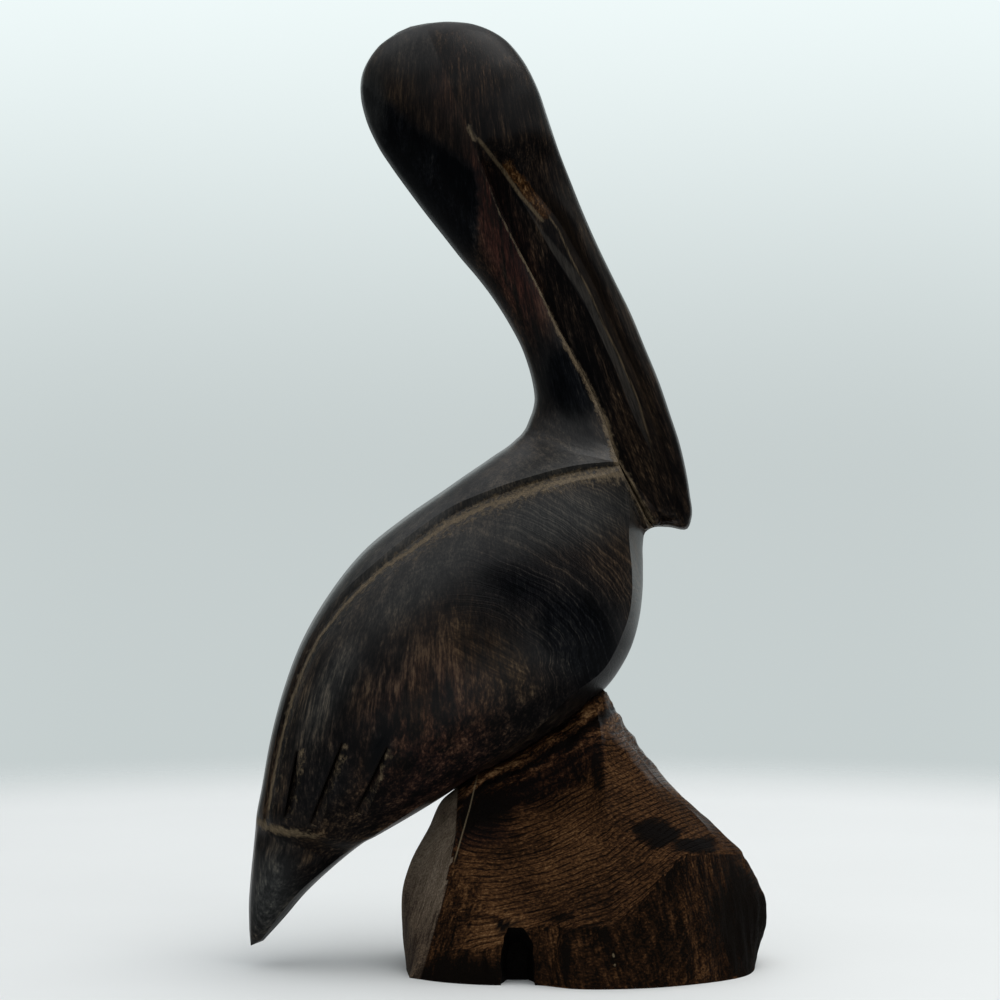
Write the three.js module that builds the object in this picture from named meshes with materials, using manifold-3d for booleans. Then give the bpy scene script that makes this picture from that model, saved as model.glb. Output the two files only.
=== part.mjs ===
// A pelican carved with its rough foot from one block of dark, heavy wood.
// Millimetres, +Z up. The bird faces +X and is alike on both sides of the plane y = 0.
import * as THREE from "three";
import Module from "manifold-3d";

const wasm = await Module();
wasm.setup();

// Lengths that drive the mesh and the carving.
const STATION_STEP = 4.2;
const NECK_RUN = [1.3, 2.6];
const SECTION_POWER = 2.15;
const BREAST_FLATNESS = 0.25;
const CULMEN_GROOVE = 0.9;
// Beyond the jaw's edge the head runs on into the culmen where its wall is less than this.
const WHOLE_WALL = 0.85;
const CULMEN_RISE = 3.5;

// Bird sections from the tail tip to the crown. Each is a path over the side of the bird:
// from the back edge, over the middle line (the wing's upper groove, then the line between
// neck and bill), to the front edge.
//   back, middle, front: x, z
//   wide: half width, reach: length over which the round section closes, peak: where it is widest
//   groove: depth of the groove on the middle line, run: distances to its floor and its far side
//   wall: how far the neck or breast steps down to the bill (0 to 1), blend: radius of the join
//   k1, k2: shares of the way from middle to front where the side turns. On the bill these are
//   the edge of the jaw and the groove beside the culmen, on the body k2 is the breast's edge.
//   bill: half widths at the middle line, k1 and k2 (absent on the body)
const SECTIONS = [
  { back: [-69.8, 9.6], middle: [-68.6, 8.6], front: [-66.0, 6.7], wide: 3.2, k1: 0.4, k2: 0.8 },
  { back: [-69.9, 16.3], middle: [-68.2, 15.6], front: [-60.6, 12.6], wide: 6.2, k1: 0.4, k2: 0.8 },
  { back: [-69.4, 24.0], middle: [-67.4, 23.4], front: [-54.6, 19.6], wide: 9.4, k1: 0.4, k2: 0.85 },
  { back: [-68.7, 31.0], middle: [-66.4, 30.6], front: [-47.8, 26.0], wide: 11.8, k1: 0.4, k2: 0.9 },
  { back: [-68.0, 38.4], middle: [-65.5, 38.2], front: [-40.2, 32.2], wide: 13.8, k1: 0.4, k2: 0.93 },
  { back: [-67.9, 39.8], middle: [-65.4, 39.6], front: [-38.8, 33.2], wide: 15.6, groove: 0.5, run: [0.9, 2.4], k1: 0.4, k2: 0.93 },
  { back: [-66.4, 48.0], middle: [-64.5, 47.4], front: [-34.4, 35.6], wide: 18.6, groove: 1.0, run: [1.0, 2.8], k1: 0.4, k2: 0.94 },
  { back: [-64.1, 60.7], middle: [-62.2, 59.9], front: [-26.4, 40.2], wide: 22.2, groove: 1.3, run: [1.1, 3.2], k1: 0.4, k2: 0.94 },
  { back: [-60.6, 74.1], middle: [-58.8, 73.2], front: [-18.1, 45.2], wide: 25.2, groove: 1.5, run: [1.3, 3.6], k1: 0.4, k2: 0.94 },
  { back: [-55.5, 87.6], middle: [-53.9, 86.4], front: [-9.0, 51.0], wide: 27.4, groove: 1.7, run: [1.6, 4.2], k1: 0.42, k2: 0.94 },
  { back: [-48.5, 99.7], middle: [-46.5, 98.0], front: [1.5, 56.4], wide: 28.6, groove: 1.8, run: [1.8, 4.8], k1: 0.44, k2: 0.93 },
  { back: [-39.0, 111.6], middle: [-35.8, 108.3], front: [12.0, 62.8], wide: 29.0, peak: 0.49, groove: 1.9, run: [2.0, 5.2], k1: 0.45, k2: 0.92 },
  { back: [-27.6, 120.9], middle: [-24.3, 117.4], front: [21.2, 69.9], wide: 28.8, peak: 0.48, groove: 1.9, run: [2.1, 5.6], k1: 0.46, k2: 0.9 },
  { back: [-17.6, 127.8], middle: [-13.6, 124.3], front: [28.8, 78.0], wide: 27.8, peak: 0.47, groove: 1.9, run: [2.1, 5.6], k1: 0.46, k2: 0.92 },
  { back: [-11.6, 132.0], middle: [-2.5, 128.8], front: [33.0, 85.6], wide: 26.0, peak: 0.46, groove: 1.8, run: [2.1, 5.4], k1: 0.46, k2: 0.905 },
  { back: [-7.0, 135.1], middle: [7.0, 131.8], front: [35.2, 93.4], wide: 23.6, peak: 0.46, groove: 1.6, run: [2.0, 4.8], k1: 0.46, k2: 0.89 },
  { back: [-3.4, 137.6], middle: [14.6, 133.8], front: [36.1, 101.0], wide: 20.8, peak: 0.46, groove: 1.4, run: [1.9, 4.4], k1: 0.46, k2: 0.83 },
  { back: [-0.8, 139.3], middle: [21.2, 134.9], front: [36.2, 108.2], wide: 18.2, peak: 0.46, groove: 1.2, run: [1.7, 4.0], k1: 0.38, k2: 0.7 },
  { back: [1.0, 140.7], middle: [26.2, 135.3], front: [36.2, 113.6], wide: 16.3, peak: 0.45, groove: 0.8, run: [1.4, 3.0], k1: 0.3, k2: 0.58 },
  { back: [2.1, 141.7], middle: [28.8, 135.4], front: [36.8, 116.6], wide: 15.2, peak: 0.44, groove: 0.4, run: [1.1, 2.2], k1: 0.25, k2: 0.4 },
  { back: [3.0, 142.5], middle: [28.7, 136.0], front: [38.4, 117.7], wide: 14.7, peak: 0.44, reach: 51, wall: 1, k1: 0.6, k2: 0.9, bill: [6.6, 6.4, 5.4] },
  { back: [4.0, 143.7], middle: [28.5, 136.6], front: [43.0, 118.0], wide: 14.2, peak: 0.44, reach: 49, wall: 1, k1: 0.75, k2: 0.92, bill: [6.7, 6.5, 5.2] },
  { back: [4.9, 145.2], middle: [28.2, 137.3], front: [48.2, 117.6], wide: 13.7, peak: 0.44, reach: 47, wall: 1, k1: 0.64, k2: 0.92, bill: [6.7, 6.5, 4.6] },
  { back: [5.7, 147.2], middle: [27.9, 138.1], front: [49.3, 120.6], wide: 13.2, peak: 0.44, reach: 45, wall: 1, k1: 0.58, k2: 0.9, bill: [6.8, 6.6, 4.8] },
  { back: [6.5, 149.4], middle: [27.5, 139.2], front: [48.8, 127.0], wide: 12.7, peak: 0.44, reach: 42.5, wall: 1, k1: 0.54, k2: 0.88, bill: [6.8, 6.8, 5.0] },
  { back: [7.0, 152.2], middle: [26.9, 141.2], front: [47.7, 133.6], wide: 12.2, peak: 0.45, reach: 39.5, wall: 1, k1: 0.51, k2: 0.86, bill: [6.9, 7.0, 5.1] },
  { back: [6.7, 155.6], middle: [25.9, 144.6], front: [46.0, 140.8], wide: 11.6, peak: 0.46, reach: 35.5, wall: 1, k1: 0.478, k2: 0.83, bill: [6.9, 7.3, 5.2] },
  { back: [5.6, 160.4], middle: [23.7, 150.4], front: [43.5, 148.4], wide: 11.2, peak: 0.5, reach: 30, wall: 1, k1: 0.44, k2: 0.813, bill: [6.9, 7.6, 5.3] },
  { back: [3.4, 166.6], middle: [20.1, 157.9], front: [40.5, 157.2], wide: 11.0, peak: 0.52, reach: 26.5, wall: 1, k1: 0.456, k2: 0.81, bill: [7.0, 7.9, 5.5] },
  { back: [0.0, 173.0], middle: [16.1, 165.6], front: [36.8, 166.2], wide: 11.0, peak: 0.54, reach: 24, wall: 1, k1: 0.464, k2: 0.787, bill: [7.1, 8.1, 5.6] },
  { back: [-4.0, 179.3], middle: [11.5, 173.9], front: [32.8, 175.8], wide: 11.0, peak: 0.56, reach: 22.5, wall: 1, k1: 0.474, k2: 0.775, bill: [7.2, 8.3, 5.7] },
  { back: [-8.2, 184.9], middle: [7.9, 181.8], front: [28.4, 184.7], wide: 11.1, peak: 0.56, reach: 22.5, wall: 1, k1: 0.424, k2: 0.795, bill: [7.4, 8.5, 5.8] },
  { back: [-12.8, 190.3], middle: [3.8, 189.6], front: [24.0, 193.8], wide: 11.5, peak: 0.56, reach: 23.2, wall: 1, k1: 0.38, k2: 0.787, bill: [7.8, 8.8, 5.9] },
  { back: [-17.6, 196.4], middle: [0.2, 196.6], front: [20.0, 202.9], wide: 12.2, peak: 0.433, reach: 33, wall: 0.85, blend: 0.5, k1: 0.355, k2: 0.727, bill: [8.4, 9.2, 6.4] },
  { back: [-22.5, 202.6], middle: [-3.2, 203.8], front: [16.8, 210.9], wide: 13.1, peak: 0.39, reach: 40.5, wall: 0.6, blend: 1.5, k1: 0.295, k2: 0.6, bill: [9.0, 9.6, 7.0] },
  { back: [-27.3, 209.0], middle: [-6.2, 211.2], front: [13.7, 218.9], wide: 14.0, peak: 0.42, reach: 42.5, wall: 0.45, blend: 1.5, k1: 0.27, k2: 0.56, bill: [9.4, 9.4, 7.2] },
  { back: [-31.6, 215.0], middle: [-8.9, 218.4], front: [10.9, 227.2], wide: 14.7, peak: 0.46, reach: 44.6, blend: 3.5, k1: 0.14, k2: 0.5, bill: [9.0, 8.8, 6.8] },
  { back: [-35.4, 221.0], middle: [-11.6, 227.6], front: [7.5, 236.9], wide: 15.1, peak: 0.46, reach: 45.9, blend: 6, k1: 0.2, k2: 0.55, bill: [7.6, 7.2, 5.6] },
  { back: [-38.3, 227.5], middle: [-14.2, 235.8], front: [3.6, 244.1], wide: 15.0, peak: 0.48, reach: 45.1, blend: 5, k1: 0.3, k2: 0.65, bill: [5.0, 4.8, 3.8] },
  { back: [-39.8, 234.2], middle: [-16.4, 242.6], front: [-1.4, 249.6], wide: 13.9, peak: 0.48, reach: 41.5, blend: 3, k1: 0.4, k2: 0.75, bill: [3.0, 2.8, 2.4] },
  { back: [-39.2, 240.6], middle: [-19.4, 248.0], front: [-8.0, 252.9], wide: 11.4, peak: 0.48, reach: 33.5, blend: 2, k1: 0.4, k2: 0.75, bill: [1.4, 1.4, 1.2] },
  { back: [-35.8, 246.4], middle: [-22.6, 251.3], front: [-14.6, 253.9], wide: 7.2, peak: 0.48, reach: 22.2, blend: 1, k1: 0.4, k2: 0.75, bill: [0.6, 0.6, 0.5] },
  { back: [-30.6, 250.6], middle: [-25.2, 252.3], front: [-20.6, 253.6], wide: 3.4, peak: 0.48, reach: 10.4, k1: 0.4, k2: 0.75, bill: [0.2, 0.2, 0.2] },
];
const TAIL_TIP = [-69.4, 5.3];
const CROWN = [-26.4, 252.8];

// Rings of corners of the rough foot, front left first and round by the right. x, y, z
const FOOT_RINGS = [
  [[-26, -18.4, 0], [-16.5, -25, 0], [-5.1, -28.6, 0], [7.6, -28.9, 0], [17, -34, 0], [29, -34.2, 0],
    [47, -28.2, 0], [63, -14.5, 0], [66.2, -1, 0], [64, 14, 0], [51, 27, 0], [29, 33, 0], [5, 31, 0], [-17, 25, 0],
    [-26, 12, 0], [-27.4, -4, 0]],
  [[-24, -19.4, 3.2], [-15.3, -25.1, 4], [-5.1, -29, 5], [7.8, -29.8, 8], [17.3, -34.2, 8], [28, -34.4, 8],
    [46.5, -29.5, 14], [60.4, -15, 16], [69.2, -1, 16.5], [67, 14, 13], [52, 28, 11], [29, 33.5, 10], [4.5, 32, 9],
    [-17.5, 26, 8], [-27.5, 12, 8], [-28.4, -3, 9]],
  [[-22, -20, 6.6], [-14, -25.2, 7.8], [-5.1, -29, 9.2], [8.7, -30, 15.4], [17.6, -33.4, 15.5], [26, -34.5, 15.8],
    [44.6, -29, 33.2], [57.5, -13.4, 32.6], [63, 0, 30.6], [61, 13, 29], [48, 26, 26], [28, 31, 22], [4.5, 30, 20],
    [-17, 25, 17], [-28, 11.5, 18], [-28.2, -2, 22]],
  [[-15.8, -19.5, 27.9], [-8, -20.5, 30], [0, -19.5, 32], [9, -19.8, 35], [17, -21.5, 37], [25.4, -23.8, 39],
    [41.3, -19.7, 42.5], [50, -10.8, 41.2], [54.5, 0.5, 38.4], [52, 11, 36], [42, 20, 35], [26, 25, 34], [6, 25, 32],
    [-14, 21, 29], [-25.5, 10, 27], [-26.3, -1, 28]],
  [[-13.2, -17.6, 39.5], [-7, -13.5, 42], [0, -11.5, 44.5], [8.4, -11, 47], [16.6, -13, 50], [25.2, -18.4, 50],
    [34.3, -12.7, 52.6], [40.6, -7, 49.8], [44, 0.5, 48.1], [42, 7.5, 47], [34, 13.5, 47], [21.5, 17, 46],
    [4.5, 17.5, 44], [-11, 15.5, 40], [-20, 8, 37.5], [-21.5, -0.5, 37]],
  [[-10.4, -13.6, 50], [-5, -12.6, 52.6], [1.4, -12, 56], [9.4, -11.8, 61], [17.4, -11.4, 66], [24.6, -13, 62],
    [29.6, -8.6, 61], [32.4, -4.2, 61], [34.2, 0.4, 60.5], [33, 5, 60], [28, 9, 60], [19, 12, 60], [6, 12.5, 57],
    [-7.5, 11, 50], [-15, 6, 46], [-17.5, -0.5, 45]],
  [[-8.6, -10.5, 53], [-3.6, -9.6, 56], [3, -8.8, 60], [10.6, -8.4, 66], [17.6, -8, 71], [22.6, -8.4, 74.6],
    [25.4, -6.6, 74.6], [26.8, -3.4, 73], [27.4, 0.3, 70], [26.8, 4, 70], [23, 7, 71], [15, 9, 68], [5, 9.5, 62],
    [-6, 8.5, 54], [-13, 4.5, 48.5], [-14.5, -0.5, 47.5]],
];
const FOOT_TOP = [6, 0, 66];
const FOOT_MIDDLE = [10, 0, 0];
// The ring that is a sharp edge all along the near side, from the first corner to this one.
const EDGE_RING = 2;
const EDGE_RING_END = 9;
// How sharp the upright edges are at each ring, from the ground up, by corner.
const CORNER_EDGES = {
  0: [1, 1, 1, 1, 1, 1, 1],
  5: [0, 0, 0, 0.2, 0.9, 1, 1],
  7: [0, 0, 0.5, 1, 1, 1, 1],
  10: [0.5, 0.6, 0.8, 0.8, 0.6, 0.3, 0],
  12: [0.3, 0.4, 0.8, 1, 0.8, 0.5, 0],
  15: [0.4, 0.6, 0.8, 0.8, 0.6, 0.4, 0],
};
const FOOT_STEP = 6.4;

// Hollow in the lower front of the foot, seen from the front. x, z
const HOLLOW_ARCH = [
  [-2.2, -2], [6.9, -2], [6.8, 4], [6.3, 10.2], [5, 13.4], [3.4, 15.2], [-0.4, 15.4], [-1.4, 12.8], [-2.1, 8],
];
const HOLLOW_CENTRE = [2.4, 4];
// y and share of the arch's size
const HOLLOW_DEPTHS = [[-45, 1], [-30, 1], [-27, 0.95], [-21, 0.65]];

// Feather slits near the end of each wing, upper and lower end. x, z
const SLITS = [
  { top: [-55.7, 59.5], bottom: [-59.3, 42.0] },
  { top: [-43.6, 62.4], bottom: [-52.4, 40.6] },
  { top: [-31.8, 61.4], bottom: [-40.2, 43.8] },
];
const SLIT_DEPTH = 1.6;
const SLIT_WIDTH = 3.0;
const SLIT_LIP = 0.25;
const CUTTER_OUT = 3;
// place along a slit, share of its depth, share of its width
const SLIT_PROFILE = [[0, 0.1, 0.15], [0.25, 0.8, 0.5], [0.6, 1, 0.9], [0.9, 0.8, 1], [1, 0.1, 1]];

const lerp = (a, b, t) => a + (b - a) * t;
const clamp01 = (v) => Math.min(1, Math.max(0, v));
const distance = (a, b) => Math.hypot(a[0] - b[0], a[1] - b[1]);

// Numbers that describe one section, in a fixed order, so that sections can be blended.
function sectionNumbers(s) {
  const total = distance(s.back, s.middle) + distance(s.middle, s.front);
  const bill = s.bill ?? [0, 0, 0];
  return [
    ...s.back, ...s.middle, ...s.front, s.wide, s.peak ?? 0.5, s.reach ?? total * 1.08, s.groove ?? 0,
    s.wall ?? 0, s.blend ?? 0, s.k1, s.k2, ...bill, s.bill ? 1 : 0, ...(s.run ?? NECK_RUN),
  ];
}

function readNumbers(n) {
  return {
    back: [n[0], n[1]], middle: [n[2], n[3]], front: [n[4], n[5]], wide: n[6], peak: n[7], reach: n[8],
    groove: n[9], wall: clamp01(n[10]), blend: Math.max(0, n[11]), k1: n[12], k2: n[13],
    bill: [n[14], n[15], n[16]], billShare: clamp01(n[17]), run: [n[18], n[19]],
  };
}

// Distance between two sections, taken along the edges of the bird.
function sectionGap(a, b) {
  return Math.max(distance(a.back, b.back), distance(a.front, b.front), 0.6);
}

// All sections of the bird, with smooth ones put between those that are listed.
function spreadSections(step) {
  const rows = SECTIONS.map(sectionNumbers);
  const at = [0];
  for (let i = 1; i < SECTIONS.length; i++) at.push(at[i - 1] + sectionGap(SECTIONS[i - 1], SECTIONS[i]));
  const slope = (i, c) => {
    if (i === 0 || i === rows.length - 1) return null;
    const before = (rows[i][c] - rows[i - 1][c]) / (at[i] - at[i - 1]);
    const after = (rows[i + 1][c] - rows[i][c]) / (at[i + 1] - at[i]);
    const share = (at[i + 1] - at[i]) / (at[i + 1] - at[i - 1]);
    return before * share + after * (1 - share);
  };
  const out = [];
  for (let i = 0; i < rows.length - 1; i++) {
    const gap = at[i + 1] - at[i];
    const count = Math.max(1, Math.round(gap / step));
    for (let k = 0; k < count; k++) {
      const t = k / count;
      const blended = rows[i].map((a, c) => {
        const b = rows[i + 1][c];
        const plain = (b - a) / gap;
        const m0 = (slope(i, c) ?? plain) * gap;
        const m1 = (slope(i + 1, c) ?? plain) * gap;
        const t2 = t * t;
        const t3 = t2 * t;
        return (2 * t3 - 3 * t2 + 1) * a + (t3 - 2 * t2 + t) * m0 + (3 * t2 - 2 * t3) * b + (t3 - t2) * m1;
      });
      out.push(readNumbers(blended));
    }
  }
  out.push(readNumbers(rows[rows.length - 1]));
  return out;
}

function roundProfile(s, sec) {
  const top = sec.peak * sec.reach;
  const t = s < top ? 1 - s / top : (s - top) / (sec.reach - top);
  if (t >= 1) return 0;
  return sec.wide * Math.pow(1 - Math.pow(t, SECTION_POWER), 1 / SECTION_POWER);
}

function smoothMax(a, b, radius) {
  if (radius < 1e-6) return Math.max(a, b);
  const h = Math.max(0, radius - Math.abs(a - b)) / radius;
  return Math.max(a, b) + h * h * radius * 0.25;
}

// Half width of the body at a distance s along the section, with the blunt breast.
function bodyWidth(s, sec, sMiddle, sFront) {
  const edge = lerp(sMiddle, sFront, sec.k2);
  let y = roundProfile(Math.min(s, edge), sec);
  const power = 0.5 + BREAST_FLATNESS * clamp01((0.93 - sec.k2) / 0.1);
  if (s > edge) y *= clamp01((sFront - s) / (sFront - edge)) ** power;
  const into = s - sMiddle;
  const [floor, rise] = sec.run;
  if (into > 0 && into < rise) y -= sec.groove * (into < floor ? into / floor : (rise - into) / (rise - floor));
  return y;
}

// Half width of the wedge-shaped bill, with the groove beside its ridge.
function billWidth(s, sec, sMiddle, sFront) {
  const [yMiddle, y1, y2] = sec.bill;
  if (s <= sMiddle) return yMiddle * clamp01(s / sMiddle);
  const f = (s - sMiddle) / (sFront - sMiddle);
  if (f < sec.k1) return lerp(yMiddle, y1, f / sec.k1);
  if (f < sec.k2) {
    const across = (f - sec.k1) / (sec.k2 - sec.k1);
    return lerp(y1, y2, across) - CULMEN_GROOVE * sec.wall * Math.sin(Math.PI * clamp01(across * 2 - 1)) ** 2;
  }
  const t = (f - sec.k2) / (1 - sec.k2);
  return y2 * Math.sqrt(clamp01(1 - t * t));
}

function headAndBillWidth(s, sec, sMiddle, sFront) {
  const jaw = lerp(sMiddle, sFront, sec.k1);
  const kept = clamp01((WHOLE_WALL - sec.wall) / WHOLE_WALL) * clamp01((s - jaw) / CULMEN_RISE);
  let y = roundProfile(s, sec);
  y *= 1 - sec.wall * clamp01((s - sMiddle) / NECK_RUN[0]) * (1 - kept);
  return smoothMax(y, billWidth(s, sec, sMiddle, sFront), sec.blend);
}

function halfWidth(s, sec) {
  const sMiddle = distance(sec.back, sec.middle);
  const sFront = sMiddle + distance(sec.middle, sec.front);
  const body = sec.billShare < 1 ? bodyWidth(s, sec, sMiddle, sFront) : 0;
  const head = sec.billShare > 0 ? headAndBillWidth(s, sec, sMiddle, sFront) : 0;
  const fade = clamp01((sFront - s) / 0.8) * clamp01(s / 0.8);
  return lerp(body, head, sec.billShare) * Math.sqrt(fade);
}

// Distances along a section at which the mesh has its corners.
function columns(sec) {
  const sMiddle = distance(sec.back, sec.middle);
  const sFront = sMiddle + distance(sec.middle, sec.front);
  const s1 = lerp(sMiddle, sFront, sec.k1);
  const s2 = lerp(sMiddle, sFront, sec.k2);
  const room = Math.min(1, ((s1 - sMiddle) * 0.6) / sec.run[1]);
  const out = [];
  const rise = 7;
  for (let i = 0; i <= rise; i++) out.push(sMiddle * (1 - Math.cos((Math.PI * i) / (2 * rise))));
  const floor = sMiddle + sec.run[0] * room;
  const risen = sMiddle + sec.run[1] * room;
  out.push(floor, risen);
  for (let i = 1; i <= 4; i++) out.push(lerp(risen, s1, i / 4));
  for (let i = 1; i <= 4; i++) out.push(lerp(s1, s2, i / 4));
  for (let i = 1; i <= 4; i++) out.push(lerp(s2, sFront, Math.sin((Math.PI * i) / 8)));
  return out;
}

function pointOnSection(s, sec) {
  const sMiddle = distance(sec.back, sec.middle);
  if (s <= sMiddle) {
    const t = s / sMiddle;
    return [lerp(sec.back[0], sec.middle[0], t), lerp(sec.back[1], sec.middle[1], t)];
  }
  const t = (s - sMiddle) / distance(sec.middle, sec.front);
  return [lerp(sec.middle[0], sec.front[0], t), lerp(sec.middle[1], sec.front[1], t)];
}

// Closed surface through rings of equal length, with one point at each end.
function closeRings(rings, first, last) {
  const points = [first, ...rings.flat(), last];
  const n = rings[0].length;
  const index = [];
  for (let j = 0; j < n; j++) {
    const next = (j + 1) % n;
    index.push(0, 1 + next, 1 + j);
    for (let r = 0; r < rings.length - 1; r++) {
      const low = 1 + r * n;
      const high = low + n;
      index.push(low + j, low + next, high + next, low + j, high + next, high + j);
    }
    const top = 1 + (rings.length - 1) * n;
    index.push(top + j, top + next, points.length - 1);
  }
  return { points, index };
}

function signedVolume(points, index) {
  let sum = 0;
  for (let i = 0; i < index.length; i += 3) {
    const [a, b, c] = [points[index[i]], points[index[i + 1]], points[index[i + 2]]];
    sum += a[0] * (b[1] * c[2] - b[2] * c[1]) - a[1] * (b[0] * c[2] - b[2] * c[0]) + a[2] * (b[0] * c[1] - b[1] * c[0]);
  }
  return sum;
}

function toSolid({ points, index }) {
  if (signedVolume(points, index) < 0) index.reverse();
  return new wasm.Manifold(new wasm.Mesh({
    numProp: 3,
    vertProperties: new Float32Array(points.flat()),
    triVerts: new Uint32Array(index),
  }));
}

function birdSurface() {
  const rings = spreadSections(STATION_STEP).map((sec) => {
    const near = columns(sec).map((s) => {
      const [x, z] = pointOnSection(s, sec);
      return [x, -halfWidth(s, sec), z];
    });
    near[0][1] = 0;
    near[near.length - 1][1] = 0;
    const far = near.slice(1, -1).reverse().map(([x, y, z]) => [x, -y, z]);
    return [...near, ...far];
  });
  return closeRings(rings, [TAIL_TIP[0], 0, TAIL_TIP[1]], [CROWN[0], 0, CROWN[1]]);
}

// Directions of a run at each of its points, before and after it. Sharp points keep both apart.
function tangents(points, sharp, closed) {
  const n = points.length;
  const chords = points.map((p, i) => {
    const q = points[(i + 1) % n];
    const d = [q[0] - p[0], q[1] - p[1], q[2] - p[2]];
    const length = Math.max(Math.hypot(...d), 1e-6);
    return { length, way: d.map((v) => v / length) };
  });
  const knots = chords.map((after, i) => {
    const before = chords[(i + n - 1) % n];
    const share = after.length / (after.length + before.length);
    const smooth = before.way.map((v, c) => v * share + after.way[c] * (1 - share));
    return {
      arriving: before.way.map((v, c) => lerp(smooth[c], v, sharp[i])),
      leaving: after.way.map((v, c) => lerp(smooth[c], v, sharp[i])),
      length: after.length,
    };
  });
  if (!closed) {
    knots[0].leaving = chords[0].way;
    knots[n - 1].arriving = chords[n - 2].way;
  }
  return knots;
}

function curvePoint(a, b, from, to, t) {
  const t2 = t * t;
  const t3 = t2 * t;
  return a.map((v, c) => (2 * t3 - 3 * t2 + 1) * v + (t3 - 2 * t2 + t) * from.leaving[c] * from.length
    + (3 * t2 - 2 * t3) * b[c] + (t3 - t2) * to.arriving[c] * from.length);
}

// One ring of the foot, curved between its corners except where they are sharp.
function footRow(corners, sharp, counts) {
  const knots = tangents(corners, sharp, true);
  return counts.flatMap((count, j) => {
    const k = (j + 1) % corners.length;
    return Array.from({ length: count }, (_, i) => curvePoint(corners[j], corners[k], knots[j], knots[k], i / count));
  });
}

// The foot: smooth hewn surfaces between the sharp edges that the axe left.
function footSolid() {
  const rings = FOOT_RINGS;
  const corners = rings[0].map((_, j) => j);
  const gap = (a, b) => Math.hypot(a[0] - b[0], a[1] - b[1], a[2] - b[2]);
  const counts = corners.map((j) => {
    const widest = Math.max(...rings.map((ring) => gap(ring[j], ring[(j + 1) % corners.length])));
    return Math.max(1, Math.round(widest / FOOT_STEP));
  });
  const upwards = corners.map((j) => {
    const sharp = rings.map((_, r) => (r === EDGE_RING && j <= EDGE_RING_END ? 1 : 0));
    return tangents(rings.map((ring) => ring[j]), sharp, false);
  });
  const rows = [];
  for (let r = 0; r < rings.length - 1; r++) {
    const count = Math.max(1, Math.round(Math.max(...corners.map((j) => gap(rings[r][j], rings[r + 1][j]))) / FOOT_STEP));
    const end = r === rings.length - 2 ? count : count - 1;
    for (let i = 0; i <= end; i++) {
      const t = i / count;
      const here = corners.map((j) => curvePoint(rings[r][j], rings[r + 1][j], upwards[j][r], upwards[j][r + 1], t));
      const sharp = corners.map((j) => (CORNER_EDGES[j] ? lerp(CORNER_EDGES[j][r], CORNER_EDGES[j][r + 1], t) : 0));
      rows.push(footRow(here, sharp, counts));
    }
  }
  return toSolid(closeRings(rows, FOOT_MIDDLE, FOOT_TOP));
}

// Y of the near side of the bird under a point of the side view.
function nearSide(x, z, surface) {
  let best = 0;
  const { points, index } = surface;
  for (let i = 0; i < index.length; i += 3) {
    const [a, b, c] = [points[index[i]], points[index[i + 1]], points[index[i + 2]]];
    const det = (b[2] - c[2]) * (a[0] - c[0]) + (c[0] - b[0]) * (a[2] - c[2]);
    if (Math.abs(det) < 1e-9) continue;
    const u = ((b[2] - c[2]) * (x - c[0]) + (c[0] - b[0]) * (z - c[2])) / det;
    const v = ((c[2] - a[2]) * (x - c[0]) + (a[0] - c[0]) * (z - c[2])) / det;
    if (u < 0 || v < 0 || u + v > 1) continue;
    best = Math.min(best, u * a[1] + v * b[1] + (1 - u - v) * c[1]);
  }
  return best;
}

// Wedge that cuts one feather slit: steep on its back side, sloping towards the breast.
function slitCutter(slit, surface, side) {
  const along = [slit.bottom[0] - slit.top[0], slit.bottom[1] - slit.top[1]];
  const length = Math.hypot(...along);
  const across = [-along[1] / length, along[0] / length];
  const rings = SLIT_PROFILE.map(([t, deep, wide]) => {
    const at = (w) => [slit.top[0] + along[0] * t + across[0] * w, slit.top[1] + along[1] * t + across[1] * w];
    const [ax, az] = at(-SLIT_LIP);
    const [bx, bz] = at(SLIT_LIP);
    const [cx, cz] = at(wide * SLIT_WIDTH);
    const yb = nearSide(bx, bz, surface);
    const yc = nearSide(cx, cz, surface);
    return [
      [ax, side * (yb - CUTTER_OUT), az], [bx, side * (yb + deep * SLIT_DEPTH), bz],
      [cx, side * yc, cz], [cx, side * (yc - CUTTER_OUT), cz],
    ];
  });
  const middle = (ring) => [0, 1, 2].map((c) => ring.reduce((sum, p) => sum + p[c], 0) / ring.length);
  return toSolid(closeRings(rings, middle(rings[0]), middle(rings[rings.length - 1])));
}

function hollowCutter() {
  const [cx, cz] = HOLLOW_CENTRE;
  const rings = HOLLOW_DEPTHS.map(([y, share]) => HOLLOW_ARCH.map(([x, z]) => [lerp(cx, x, share), y, z * share]));
  const last = HOLLOW_DEPTHS[HOLLOW_DEPTHS.length - 1][0];
  return toSolid(closeRings(rings, [cx, HOLLOW_DEPTHS[0][0], cz], [cx, last, cz]));
}

function toMesh(solid, name) {
  const { vertProperties, triVerts } = solid.getMesh();
  const geometry = new THREE.BufferGeometry();
  geometry.setAttribute("position", new THREE.BufferAttribute(new Float32Array(vertProperties), 3));
  geometry.setIndex(Array.from(triVerts));
  geometry.computeBoundingBox();
  const box = geometry.boundingBox;
  geometry.translate(-(box.min.x + box.max.x) / 2, -(box.min.y + box.max.y) / 2, -box.min.z);
  geometry.computeVertexNormals();
  const mesh = new THREE.Mesh(geometry, new THREE.MeshStandardMaterial({ color: 0x2b1d17 }));
  mesh.name = name;
  return mesh;
}

function statueSolid() {
  const surface = birdSurface();
  let solid = toSolid(surface).add(footSolid().subtract(hollowCutter()));
  for (const slit of SLITS) {
    for (const side of [1, -1]) solid = solid.subtract(slitCutter(slit, surface, side));
  }
  return solid;
}

const part = new THREE.Group();
part.name = "pelican";
part.add(toMesh(statueSolid(), "pelican_statue"));

export default part;
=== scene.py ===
import math

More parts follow.
